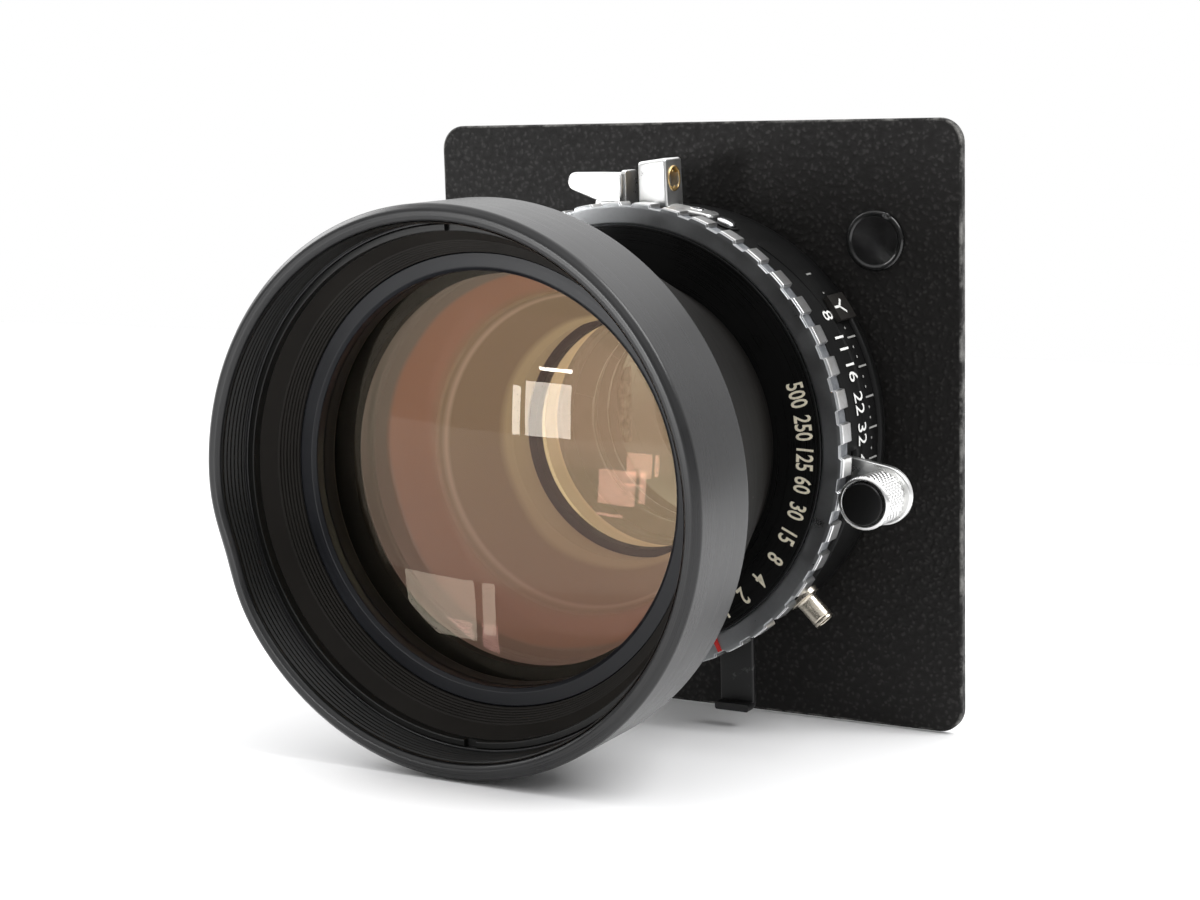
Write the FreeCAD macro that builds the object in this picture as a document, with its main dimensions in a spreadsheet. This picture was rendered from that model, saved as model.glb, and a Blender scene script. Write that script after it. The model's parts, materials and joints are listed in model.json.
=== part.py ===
import FreeCAD, Part

import math
import os
from types import SimpleNamespace

import Sketcher

# A long-focus lens in a leaf shutter on a flat lens board, as separate pieces.
#
# Every piece is drawn in the shutter's own frame: x to the right and y up as seen from the front,
# z along the optical axis towards the subject, zero on the board's back face. FRONT_FRAME then
# turns that frame so that the part stands +Z up and looks along -Y. Heights named "..._z" are
# measured forwards from the board's front face, radii from the optical axis.

SIZES = [
    ("board_width", 96.0, "lens board, side to side"),
    ("board_height", 99.0, "lens board, top to bottom"),
    ("board_thick", 2.0, "lens board thickness"),
    ("board_corner", 4.0, "corner radius of the board"),
    ("board_hole_r", 20.8, "hole that takes the shutter's shoulder"),
    ("fit_gap", 0.05, "radial clearance of parts that turn or slide in one another"),
    ("seat_gap", 0.10, "radial clearance of parts that only drop in"),
    ("plug_x", 33.7, "blanking plug, right of the axis"),
    ("plug_y", 30.3, "blanking plug, above the axis"),
    ("plug_r", 4.9, "flange of the blanking plug"),
    ("plug_stem_r", 3.6, "stem of the blanking plug"),
    ("plug_flange", 0.9, "flange thickness of the blanking plug"),
    ("tube_r", 19.5, "outside of the shutter's rear mounting tube"),
    ("tube_behind", 5.0, "rear tube behind the board"),
    ("rear_bore_r", 17.9, "thread that takes the rear cell"),
    ("nut_r", 26.0, "outside of the mounting nut"),
    ("nut_thick", 3.0, "mounting nut thickness"),
    ("case_r", 36.4, "outside of the shutter case"),
    ("case_wall", 1.6, "wall of the shutter case"),
    ("case_floor", 2.2, "floor of the shutter case"),
    ("case_rim_z", 19.4, "front rim of the shutter case"),
    ("iris_z", 3.0, "first iris leaf"),
    ("leaf_pitch", 0.30, "spacing of the stacked leaves"),
    ("leaf_thick", 0.12, "thickness of one leaf"),
    ("clear_r", 15.0, "clear opening of the shutter"),
    ("iris_ring_z", 5.6, "iris ring"),
    ("iris_ring_thick", 1.0, "iris ring thickness"),
    ("shutter_z", 7.4, "first shutter leaf"),
    ("drive_ring_z", 9.1, "drive ring of the shutter leaves"),
    ("plate_z", 10.6, "mechanism plate"),
    ("plate_thick", 1.5, "mechanism plate thickness"),
    ("bush_r", 20.0, "thread that takes the front cell"),
    ("bush_wall", 1.5, "wall of the front bush"),
    ("face_z", 23.9, "front face of the speed dial"),
    ("dial_r", 34.2, "outer edge of the speed dial"),
    ("dial_lip", 0.7, "thickness of the lip that traps the speed ring"),
    ("dial_skirt_r", 33.4, "skirt on which the speed ring turns"),
    ("speed_ring_r", 37.7, "outside of the notched speed ring"),
    ("speed_ring_z", 19.8, "back face of the speed ring"),
    ("speed_rim", 0.3, "plain rim in front of the notches"),
    ("notch_deep", 0.75, "depth of the grip notches"),
    ("notch_wide", 2.3, "width of the grip notches"),
    ("notch_step", 8.0, "angle from notch to notch"),
    ("spigot_r", 19.9, "threaded spigot of the front cell"),
    ("neck_r", 26.5, "neck of the front cell"),
    ("cone_z", 25.0, "where the neck starts to flare"),
    ("band_z", 62.6, "back edge of the wide front band"),
    ("band_r", 40.8, "wide front band"),
    ("rim_z", 78.2, "front rim"),
    ("rim_bevel", 0.7, "bevel of the front rim"),
    ("thread_r", 38.25, "front filter thread"),
    ("thread_long", 6.2, "length of the front filter thread"),
    ("hood_bore_r", 37.7, "bore behind the filter thread"),
    ("hood_thick", 1.6, "notched ring at the foot of the filter thread"),
    ("hood_r", 36.6, "opening of the notched ring"),
    ("glass_room", 0.2, "radial room of the front glass in its bore"),
    ("front_glass_r", 33.0, "edge of the front glass"),
    ("front_glass_z", 54.6, "back edge of the front glass"),
    ("front_glass_edge", 4.8, "edge thickness of the front glass"),
    ("front_curve", 118.0, "radius of the front glass's front surface"),
    ("back_curve", 260.0, "radius of the front glass's back surface"),
    ("clamp_thick", 5.6, "ring that clamps the front glass"),
    ("clamp_lip", 2.6, "reach of that ring over the glass"),
    ("spacer_long", 3.0, "spacer between the first two glasses"),
    ("second_glass_r", 31.0, "edge of the second glass"),
    ("second_edge", 5.0, "edge thickness of the second glass"),
    ("inner_glass_r", 18.0, "edge of the glass in the spigot"),
    ("inner_glass_z", 17.0, "back edge of the glass in the spigot"),
    ("inner_edge", 3.2, "edge thickness of the glass in the spigot"),
    ("rear_wall", 3.0, "wall of the rear cell round its glasses"),
    ("rear_neck", 2.2, "gap between the mounting nut and the rear cell's flange"),
    ("rear_long", 17.0, "rear cell behind its flange"),
    ("rear_glass_r", 21.0, "edge of the rear glasses"),
    ("rear_edge", 3.0, "edge thickness of each rear glass"),
    ("rear_space", 5.2, "space between the rear glasses"),
    ("rear_curve", 75.0, "back surface of the first rear glass"),
    ("last_curve", 140.0, "front surface of the last glass"),
    ("inner_curve", 55.0, "back surface of the glass in the spigot"),
    ("arm_z", 15.6, "back of the cocking arm"),
    ("arm_thick", 1.3, "cocking arm thickness"),
    ("knob_clear", 1.45, "gap from the shutter case to the cocking knob"),
    ("arm_angle", -10.4, "cocking arm at rest"),
    ("cocking_sweep", 34.0, "travel of the cocking arm"),
    ("arm_wide", 9.4, "cocking arm, side to side"),
    ("knob_r", 4.15, "cocking knob"),
    ("knob_front_z", 24.4, "front of the knob's knurled body"),
    ("cap_thick", 0.9, "black end cap of the knob"),
    ("aperture_tab_z", 11.6, "front end of the aperture pointer's tab"),
    ("aperture_angle", 33.4, "aperture pointer at full opening"),
    ("aperture_step", 7.6, "angle from stop to stop"),
    ("aperture_stops", 5.0, "stops from full opening to the smallest"),
    ("socket_wide", 5.0, "cable socket, side to side"),
    ("socket_tall", 7.9, "cable socket above the case"),
    ("socket_deep", 5.8, "cable socket along the axis"),
    ("socket_z", 11.2, "back of the cable socket"),
    ("socket_bore_r", 2.1, "brass bush in the cable socket"),
    ("cable_thread_r", 1.6, "thread for the cable release"),
    ("lever_z", 17.3, "back of the release lever"),
    ("lever_thick", 1.0, "release lever thickness"),
    ("sync_angle", -45.5, "flash terminal round the case"),
    ("sync_z", 11.8, "flash terminal along the axis"),
    ("sync_r", 1.75, "outside of the flash terminal"),
    ("sync_long", 5.4, "flash terminal beyond the case"),
    ("button_angle", 67.3, "lock button round the case"),
    ("button_z", 14.2, "lock button along the axis"),
    ("button_r", 1.6, "lock button"),
    ("opener_x", 14.3, "pin of the blade opener lever, right of the axis"),
    ("opener_y", -28.6, "pin of the blade opener lever, above the axis"),
    ("opener_long", 16.6, "blade opener lever, pin to foot"),
    ("opener_wide", 6.0, "blade opener lever, side to side"),
    ("opener_z", 12.5, "back of the blade opener lever"),
    ("opener_thick", 1.2, "blade opener lever thickness"),
]

IRIS_LEAVES = 7
SHUTTER_LEAVES = 5
CASE_SCREWS = 4

FRONT_FRAME = FreeCAD.Placement(FreeCAD.Vector(0, 0, 0), FreeCAD.Rotation(FreeCAD.Vector(1, 0, 0), 90))
TOP = FreeCAD.Vector(0, 0, 1)

doc = FreeCAD.newDocument("LensUnit")
sheet = doc.addObject("Spreadsheet::Sheet", "Sizes")
sub_parts = []


class Size:
    """A number together with the sheet formula that gives it."""

    def __init__(self, value, formula=None):
        self.value = float(value)
        self.formula = formula or repr(float(value))

    def __add__(self, other):
        other = as_size(other)
        return Size(self.value + other.value, f"({self.formula} + {other.formula})")

    def __sub__(self, other):
        other = as_size(other)
        return Size(self.value - other.value, f"({self.formula} - {other.formula})")

    def __mul__(self, other):
        other = as_size(other)
        return Size(self.value * other.value, f"({self.formula} * {other.formula})")

    def __truediv__(self, other):
        other = as_size(other)
        return Size(self.value / other.value, f"({self.formula} / {other.formula})")

    def __neg__(self):
        return Size(-self.value, f"(0 - {self.formula})")


def as_size(number):
    return number if isinstance(number, Size) else Size(number)


def fill_sheet():
    """Write the driving dimensions to the sheet and hand them back by name."""
    for row, (name, number, meaning) in enumerate(SIZES, start=1):
        sheet.set(f"A{row}", meaning)
        sheet.set(f"B{row}", str(number))
        sheet.setAlias(f"B{row}", name)
    doc.recompute()
    return SimpleNamespace(**{name: Size(sheet.get(name), f"Sizes.{name}") for name, _, _ in SIZES})


d = fill_sheet()


def cell_bore():
    """Bore that holds the front glass."""
    return d.front_glass_r + d.glass_room


def clamp_open():
    """Opening of the ring that clamps the front glass."""
    return d.front_glass_r - d.clamp_lip


def rear_outside():
    """Outside of the rear cell."""
    return d.rear_glass_r + d.rear_wall


def arm_reach():
    """Axis of the shutter to the cocking knob."""
    return d.case_r + d.knob_clear + d.knob_r


def ahead(height):
    """Height above the board's back face of something measured from its front face."""
    return d.board_thick + height


def polar(radius, angle):
    """The x and y of a point at a radius and an angle in degrees, both Size or number."""
    radius, angle = as_size(radius), as_size(angle)
    turn = math.radians(angle.value)
    x = Size(radius.value * math.cos(turn), f"({radius.formula} * cos({angle.formula} * 1 deg))")
    y = Size(radius.value * math.sin(turn), f"({radius.formula} * sin({angle.formula} * 1 deg))")
    return x, y


# ---------------------------------------------------------------- drawing helpers


def bind(obj, **sizes):
    """Give each named property its value and its formula."""
    for name, size in sizes.items():
        size = as_size(size)
        setattr(obj, name, size.value)
        obj.setExpression(name, size.formula)
    return obj


def put(obj, x=0, y=0, z=0, turn=0, axis=TOP):
    """Place an object with bound coordinates and a bound turn about one axis."""
    x, y, z, turn = as_size(x), as_size(y), as_size(z), as_size(turn)
    base = FreeCAD.Vector(x.value, y.value, z.value)
    obj.Placement = FreeCAD.Placement(base, FreeCAD.Rotation(axis, turn.value))
    obj.setExpression("Placement.Base.x", x.formula)
    obj.setExpression("Placement.Base.y", y.formula)
    obj.setExpression("Placement.Base.z", z.formula)
    obj.setExpression("Placement.Rotation.Angle", f"{turn.formula} * 1 deg")
    return obj


def cylinder(radius, low, high, x=0, y=0, sector=360, start=0):
    """A cylinder, or a sector of one, along the optical axis from height low to height high."""
    obj = doc.addObject("Part::Cylinder", "Cylinder")
    bind(obj, Radius=radius, Height=as_size(high) - low, Angle=sector)
    return put(obj, x, y, low, start)


def radial_cylinder(radius, inner, outer, angle, height):
    """A cylinder whose axis points straight out from the optical axis at an angle."""
    obj = doc.addObject("Part::Cylinder", "Radial")
    bind(obj, Radius=radius, Height=as_size(outer) - inner)
    x, y = polar(inner, angle)
    height, angle = as_size(height), as_size(angle)
    base = FreeCAD.Vector(x.value, y.value, height.value)
    tip_over = FreeCAD.Rotation(FreeCAD.Vector(0, 1, 0), 90)
    obj.Placement = FreeCAD.Placement(base, FreeCAD.Rotation(TOP, angle.value) * tip_over)
    obj.setExpression("Placement.Base.x", x.formula)
    obj.setExpression("Placement.Base.y", y.formula)
    obj.setExpression("Placement.Base.z", height.formula)
    return obj


def box(x, y, z, wide, tall, deep, turn=0):
    """A box from its lowest corner, turned about the optical axis when asked."""
    obj = doc.addObject("Part::Box", "Block")
    bind(obj, Length=wide, Width=tall, Height=deep)
    return put(obj, x, y, z, turn)


def cut(base, *tools):
    """One solid less one or more others."""
    obj = doc.addObject("Part::Cut", "Cut")
    obj.Base = base
    obj.Tool = tools[0] if len(tools) == 1 else join(*tools)
    return obj


def join(*shapes):
    """Several solids as one."""
    obj = doc.addObject("Part::MultiFuse", "Join")
    obj.Shapes = list(shapes)
    obj.Refine = True
    return obj


def overlap(*shapes):
    """What several solids share."""
    obj = doc.addObject("Part::MultiCommon", "Overlap")
    obj.Shapes = list(shapes)
    return obj


def washer(inner, outer, low, high, sector=360, start=0):
    """A flat ring, or a sector of one."""
    disc = cylinder(outer, low, high, sector=sector, start=start)
    hole = cylinder(inner, as_size(low) - 1, as_size(high) + 1)
    return cut(disc, hole)


def origin_plane(body, role):
    return next(item for item in body.Origin.OriginFeatures if item.Role == role)


def sketch_on(body, role, height=0):
    """A sketch on one of the body's own planes, at a bound height along the plane's normal."""
    sketch = body.newObject("Sketcher::SketchObject", "Outline")
    sketch.AttachmentSupport = [(origin_plane(body, role), "")]
    sketch.MapMode = "FlatFace"
    height = as_size(height)
    sketch.AttachmentOffset = FreeCAD.Placement(FreeCAD.Vector(0, 0, height.value), FreeCAD.Rotation())
    sketch.setExpression(".AttachmentOffset.Base.z", height.formula)
    return sketch


def pin_point(sketch, edge, end, x, y):
    """Tie one end of an edge to the sketch's origin by bound distances."""
    for kind, size in (("DistanceX", as_size(x)), ("DistanceY", as_size(y))):
        index = sketch.addConstraint(Sketcher.Constraint(kind, -1, 1, edge, end, size.value))
        sketch.setExpression(f"Constraints[{index}]", size.formula)


def closed_outline(sketch, points):
    """A closed outline of straight lines through bound points."""
    points = [(as_size(x), as_size(y)) for x, y in points]
    corners = [FreeCAD.Vector(x.value, y.value, 0) for x, y in points]
    for index, corner in enumerate(corners):
        sketch.addGeometry(Part.LineSegment(corner, corners[(index + 1) % len(corners)]), False)
    for index, (x, y) in enumerate(points):
        previous = (index - 1) % len(points)
        sketch.addConstraint(Sketcher.Constraint("Coincident", previous, 2, index, 1))
        pin_point(sketch, index, 1, x, y)


def circle(sketch, radius, x=0, y=0):
    """A circle with a bound centre and radius."""
    radius, x, y = as_size(radius), as_size(x), as_size(y)
    centre = FreeCAD.Vector(x.value, y.value, 0)
    edge = sketch.addGeometry(Part.Circle(centre, TOP, radius.value), False)
    index = sketch.addConstraint(Sketcher.Constraint("Radius", edge, radius.value))
    sketch.setExpression(f"Constraints[{index}]", radius.formula)
    if x.value or y.value:
        pin_point(sketch, edge, 3, x, y)
    else:
        sketch.addConstraint(Sketcher.Constraint("Coincident", edge, 3, -1, 1))


def turned(points):
    """A body turned about the optical axis from an outline of (radius, height) points."""
    body = doc.addObject("PartDesign::Body", "Turned")
    sketch = sketch_on(body, "XZ_Plane")
    closed_outline(sketch, points)
    turn = body.newObject("PartDesign::Revolution", "Turn")
    turn.Profile = sketch
    turn.ReferenceAxis = (sketch, ["V_Axis"])
    turn.Angle = 360
    doc.recompute()
    return body


def finish(label, obj):
    """Name a sub-part, stand it in the row's frame and keep it for export."""
    obj.Label = label
    obj.Placement = FRONT_FRAME
    sub_parts.append(obj)
    return obj


# ---------------------------------------------------------------- lens board


def lens_board():
    body = doc.addObject("PartDesign::Body", "Board")
    sketch = sketch_on(body, "XY_Plane")
    half_w, half_h = d.board_width / 2, d.board_height / 2
    closed_outline(sketch, [(-half_w, -half_h), (half_w, -half_h), (half_w, half_h), (-half_w, half_h)])
    plate = body.newObject("PartDesign::Pad", "Plate")
    plate.Profile = sketch
    bind(plate, Length=d.board_thick)
    doc.recompute()
    corners = body.newObject("PartDesign::Fillet", "Corners")
    corners.Base = (plate, upright_edges(plate.Shape))
    bind(corners, Radius=d.board_corner)
    doc.recompute()
    holes = sketch_on(body, "XY_Plane")
    circle(holes, d.board_hole_r)
    circle(holes, d.plug_stem_r + d.seat_gap, d.plug_x, d.plug_y)
    solid_before = corners.Shape.Volume
    pierced = body.newObject("PartDesign::Pocket", "Pierced")
    pierced.Profile = holes
    pierced.Type = "ThroughAll"
    pierced.Midplane = True
    doc.recompute()
    assert pierced.Shape.Volume < solid_before
    finish("lens_board", body)


def upright_edges(shape):
    """Names of the straight edges that run along the plate's thickness."""
    names = []
    for index, edge in enumerate(shape.Edges, start=1):
        along = edge.Vertexes[0].Point - edge.Vertexes[1].Point
        if abs(along.x) < 1e-6 and abs(along.y) < 1e-6:
            names.append(f"Edge{index}")
    return names


def board_plug():
    """Blanking plug for the spare hole: a bevelled flange on a stem, held by a nut behind."""
    top = d.board_thick + d.plug_flange
    bevel = 0.35
    flange = doc.addObject("Part::Cone", "Bevel")
    bind(flange, Radius1=d.plug_r, Radius2=d.plug_r - bevel, Height=bevel)
    put(flange, d.plug_x, d.plug_y, top - bevel)
    rim = cylinder(d.plug_r, d.board_thick, top - bevel, d.plug_x, d.plug_y)
    stem = cylinder(d.plug_stem_r, -2.4, d.board_thick + 0.2, d.plug_x, d.plug_y)
    dish = cylinder(d.plug_r - 0.8, top - 0.15, top + 1, d.plug_x, d.plug_y)
    finish("board_plug", cut(join(flange, rim, stem), dish))
    nut = cylinder(d.plug_r, -1.8, 0, d.plug_x, d.plug_y)
    hole = cylinder(d.plug_stem_r + d.fit_gap, -3, 1, d.plug_x, d.plug_y)
    finish("plug_nut", cut(nut, hole))


# ---------------------------------------------------------------- shutter case and its fittings


def shutter_case():
    inside = d.case_r - d.case_wall
    floor = ahead(d.case_floor)
    step = 3.4
    cup = turned([
        (d.rear_bore_r, -d.tube_behind),
        (d.tube_r, -d.tube_behind),
        (d.tube_r, 0.2),
        (d.board_hole_r - d.seat_gap, 0.2),
        (d.board_hole_r - d.seat_gap, d.board_thick),
        (d.case_r - step, d.board_thick),
        (d.case_r, ahead(step)),
        (d.case_r, ahead(d.case_rim_z)),
        (inside, ahead(d.case_rim_z)),
        (inside, floor),
        (d.rear_bore_r, floor),
    ])
    cocking_end = d.arm_angle - d.cocking_sweep
    aperture_turn = d.aperture_step * d.aperture_stops
    aperture_start = d.aperture_angle - aperture_turn - 4.5
    slots = [
        slot(d.arm_z - 0.4, d.arm_thick + 0.8, cocking_end - 9, d.cocking_sweep + 18),
        slot(d.iris_ring_z - 0.3, d.iris_ring_thick + 0.6, aperture_start, aperture_turn + 9),
        slot(d.lever_z - 0.3, d.lever_thick + 0.6, 90.5, 26),
        slot(d.opener_z - 0.3, d.opener_thick + 0.6, -79, 23),
        radial_cylinder(d.sync_r - 0.4, inside - 3, d.case_r + 3, d.sync_angle, ahead(d.sync_z)),
        radial_cylinder(d.button_r + d.fit_gap, inside - 3, d.case_r + 3, d.button_angle, ahead(d.button_z)),
    ]
    finish("shutter_case", cut(cup, *slots))


def slot(low, long, start, sweep):
    """A slot through the case wall, from an angle round through a sweep."""
    inner = d.case_r - d.case_wall - 2
    return washer(inner, d.case_r + 2, ahead(low), ahead(low) + long, sector=sweep, start=start)


def jam_nut():
    ring = turned([
        (d.tube_r + d.fit_gap, -d.nut_thick),
        (d.nut_r - 0.6, -d.nut_thick),
        (d.nut_r, -d.nut_thick + 0.6),
        (d.nut_r, 0),
        (d.tube_r + d.fit_gap, 0),
    ])
    wide = 2.4
    notches = [
        box(d.nut_r - 2, -wide / 2, -d.nut_thick - 1, 4, wide, d.nut_thick * 0.6 + 1),
        box(-d.nut_r - 2, -wide / 2, -d.nut_thick - 1, 4, wide, d.nut_thick * 0.6 + 1),
    ]
    finish("jam_nut", cut(ring, *notches))


def aperture_scale():
    """Thin engraved plate bent round the case, in front of the pointer's slot."""
    start = d.aperture_angle - d.aperture_step * d.aperture_stops - 14
    sweep = d.aperture_step * d.aperture_stops + 38
    low = ahead(d.iris_ring_z + d.iris_ring_thick + 0.4)
    band = washer(d.case_r, d.case_r + 0.2, low, ahead(d.arm_z - 0.6), sector=sweep, start=start)
    finish("aperture_scale", band)


def mechanism_plate():
    """Plate that carries the works, on pillars that stand on the case floor."""
    low, high = ahead(d.plate_z), ahead(d.plate_z + d.plate_thick)
    inside = d.case_r - d.case_wall
    pieces = [washer(d.bush_r + d.fit_gap, inside - d.seat_gap, low, high)]
    for index in range(CASE_SCREWS):
        x, y = polar(inside - 1.3, 55 + 90 * index)
        pieces.append(cylinder(1.1, ahead(d.case_floor), low + 0.2, x, y))
    finish("mechanism_plate", join(*pieces))


def front_bush():
    """Threaded tube that takes the front cell, flanged on to the mechanism plate."""
    low = ahead(d.plate_z + d.plate_thick)
    outer = d.bush_r + d.bush_wall
    finish("front_bush", turned([
        (d.bush_r + d.fit_gap, low),
        (outer + 1.6, low),
        (outer + 1.6, low + 1),
        (outer, low + 1),
        (outer, ahead(d.face_z - 1.4)),
        (d.bush_r + d.fit_gap, ahead(d.face_z - 1.4)),
    ]))


def dial_plate():
    """Fixed speed dial: a lipped disc whose skirt stands in the case."""
    inner = d.bush_r + d.bush_wall + d.seat_gap
    face = ahead(d.face_z)
    skirt_in = d.dial_skirt_r - 1.4
    cover = turned([
        (inner, face - 1.4),
        (skirt_in, face - 1.4),
        (skirt_in, ahead(d.case_rim_z - 0.6)),
        (d.dial_skirt_r, ahead(d.case_rim_z - 0.6)),
        (d.dial_skirt_r, face - d.dial_lip),
        (d.dial_r, face - d.dial_lip),
        (d.dial_r, face),
        (inner, face),
    ])
    finish("dial_plate", cover)


def dial_seat():
    """Spacer ring between the case wall and the dial's skirt."""
    inside = d.case_r - d.case_wall
    finish("dial_seat", turned([
        (d.dial_skirt_r, ahead(d.case_rim_z - 0.6)),
        (inside, ahead(d.case_rim_z - 0.6)),
        (inside, ahead(d.case_rim_z)),
        (d.dial_skirt_r, ahead(d.case_rim_z)),
    ]))


# ---------------------------------------------------------------- speed ring


def speed_ring():
    """Chrome ring with grip notches, cut as one pocket and repeated round the ring."""
    inner = d.dial_skirt_r + d.fit_gap
    back, front = ahead(d.speed_ring_z), ahead(d.face_z - d.dial_lip - 0.1)
    body = doc.addObject("PartDesign::Body", "SpeedRing")
    sketch = sketch_on(body, "XZ_Plane")
    closed_outline(sketch, [
        (inner, back),
        (d.speed_ring_r, back),
        (d.speed_ring_r, front),
        (inner, front),
    ])
    ring = body.newObject("PartDesign::Revolution", "Ring")
    ring.Profile = sketch
    ring.ReferenceAxis = (sketch, ["V_Axis"])
    ring.Angle = 360
    doc.recompute()
    notch_sketch = sketch_on(body, "XY_Plane", back)
    near, far, half = d.speed_ring_r - d.notch_deep, d.speed_ring_r + 1, d.notch_wide / 2
    closed_outline(notch_sketch, [(near, -half), (far, -half), (far, half), (near, half)])
    notch = body.newObject("PartDesign::Pocket", "Notch")
    notch.Profile = notch_sketch
    notch.Reversed = True
    bind(notch, Length=front - back - d.speed_rim)
    doc.recompute()
    assert notch.Shape.Volume < ring.Shape.Volume
    pattern = body.newObject("PartDesign::PolarPattern", "Notches")
    pattern.Originals = [notch]
    pattern.Axis = (sketch, ["V_Axis"])
    pattern.Angle = 360
    pattern.Occurrences = round(360 / d.notch_step.value)
    body.Tip = pattern
    doc.recompute()
    finish("speed_ring", body)


def speed_face():
    """Satin face ring pressed on the speed ring, with a raised outer bevel."""
    low, high = ahead(d.face_z - d.dial_lip - 0.1), ahead(d.face_z - 0.1)
    inner, outer = d.dial_r + d.seat_gap, d.speed_ring_r - 0.45
    finish("speed_face", turned([
        (inner, low),
        (outer + 0.3, low),
        (outer, high),
        (inner, high - 0.25),
    ]))


# ---------------------------------------------------------------- iris and shutter leaves


def leaf(label, height, phase, inner, outer, span, pivot, ear):
    """A curved leaf: part of a flat ring with an ear for its pivot at one end."""
    low, high = ahead(height), ahead(height) + d.leaf_thick
    strip = washer(inner, outer, low, high, sector=span, start=phase - 4)
    x, y = polar(pivot, phase)
    tab = cylinder(ear, low, high, x, y)
    bridge = box(*polar(outer - 1, phase - 2), low, pivot - outer + 1, ear, d.leaf_thick, phase)
    hole = cylinder(0.5, low - 1, high + 1, x, y)
    finish(label, cut(join(strip, tab, bridge), hole))


def pivot_radius_iris():
    return d.clear_r + 9.6


def pivot_radius_shutter():
    return d.clear_r + 16


def iris_leaves():
    inner = d.clear_r + 0.3
    for index in range(IRIS_LEAVES):
        phase = 360 * index / IRIS_LEAVES
        height = d.iris_z + d.leaf_pitch * index
        leaf(f"iris_leaf_{index + 1}", height, phase, inner, d.clear_r + 7.3, 80, pivot_radius_iris(), 1.4)


def shutter_leaves():
    inner, outer = d.clear_r + 0.4, d.clear_r + 13
    for index in range(SHUTTER_LEAVES):
        phase = 360 * index / SHUTTER_LEAVES + 30
        height = d.shutter_z + d.leaf_pitch * index
        leaf(f"shutter_leaf_{index + 1}", height, phase, inner, outer, 118, pivot_radius_shutter(), 1.4)


def aperture_lever():
    """Iris ring with an arm through the case wall and a tab that carries the pointer."""
    low, high = ahead(d.iris_ring_z), ahead(d.iris_ring_z) + d.iris_ring_thick
    ring = washer(d.clear_r + 1, d.clear_r + 12, low, high)
    half = 3.4
    outside = d.case_r + 0.3
    arm = cut(
        cylinder(outside + 0.9, low, high, sector=half * 2, start=d.aperture_angle - half),
        cylinder(d.clear_r + 11, low - 1, high + 1),
    )
    tab_top = ahead(d.aperture_tab_z)
    tab = washer(outside, outside + 0.9, low, tab_top, sector=half * 2, start=d.aperture_angle - half)
    finish("aperture_lever", join(ring, arm, tab))


def drive_ring():
    low = ahead(d.drive_ring_z)
    inner = d.clear_r + 6
    tail = cylinder(1.5, low, low + 0.9, d.clear_r + 13.4, 0)
    finish("drive_ring", join(washer(inner, d.clear_r + 14, low, low + 0.9), tail))


# ---------------------------------------------------------------- levers, knob and button


def cocking_lever():
    """Cocking ring round the front bush with a teardrop arm that ends under the knob."""
    low, high = ahead(d.arm_z), ahead(d.arm_z) + d.arm_thick
    inner = d.bush_r + d.bush_wall + 0.6
    ring = washer(inner, inner + 4, low, high)
    x, y = polar(arm_reach(), d.arm_angle)
    boss = cylinder(d.arm_wide / 2, low, high, x, y)
    root = doc.addObject("Part::Wedge", "Root")
    neck, shoulder = 2.4, 6
    bind(root, Xmin=-neck, Xmax=neck, Ymin=0, Ymax=shoulder, Zmin=low, Zmax=high)
    bind(root, X2min=-d.arm_wide / 2, X2max=d.arm_wide / 2, Z2min=low, Z2max=high)
    put(root, *polar(inner + 3, d.arm_angle), 0, d.arm_angle - 90)
    strip = doc.addObject("Part::Box", "Strip")
    bind(strip, Length=d.arm_wide, Width=arm_reach() - inner - 3 - shoulder, Height=d.arm_thick)
    side_x, side_y = polar(d.arm_wide / 2, d.arm_angle + 90)
    start_x, start_y = polar(inner + 3 + shoulder, d.arm_angle)
    put(strip, start_x + side_x, start_y + side_y, low, d.arm_angle - 90)
    finish("cocking_lever", join(ring, boss, root, strip))
    finish("cocking_knob", turned_knob(x, y, high))
    cap_low = ahead(d.knob_front_z)
    plug = cylinder(d.knob_r - 1.5, cap_low - 0.4, cap_low + 0.1, x, y)
    cap = cylinder(d.knob_r - 0.5, cap_low, cap_low + d.cap_thick, x, y)
    finish("knob_cap", join(cap, plug))


def turned_knob(x, y, low):
    """Knurled knob: a grooved drum between a plain foot and a bevelled rim."""
    high = ahead(d.knob_front_z)
    drum = cylinder(d.knob_r, low, high, x, y)
    waist = cut(
        cylinder(d.knob_r + 1, low, low + 0.9, x, y),
        cylinder(d.knob_r - 0.5, low - 1, low + 2, x, y),
    )
    groove = cut(
        cylinder(d.knob_r + 1, high - 0.9, high - 0.5, x, y),
        cylinder(d.knob_r - 0.35, high - 2, high + 1, x, y),
    )
    socket = cylinder(d.knob_r - 1.5, high - 0.4, high + 1, x, y)
    return cut(drum, waist, groove, socket)


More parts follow.
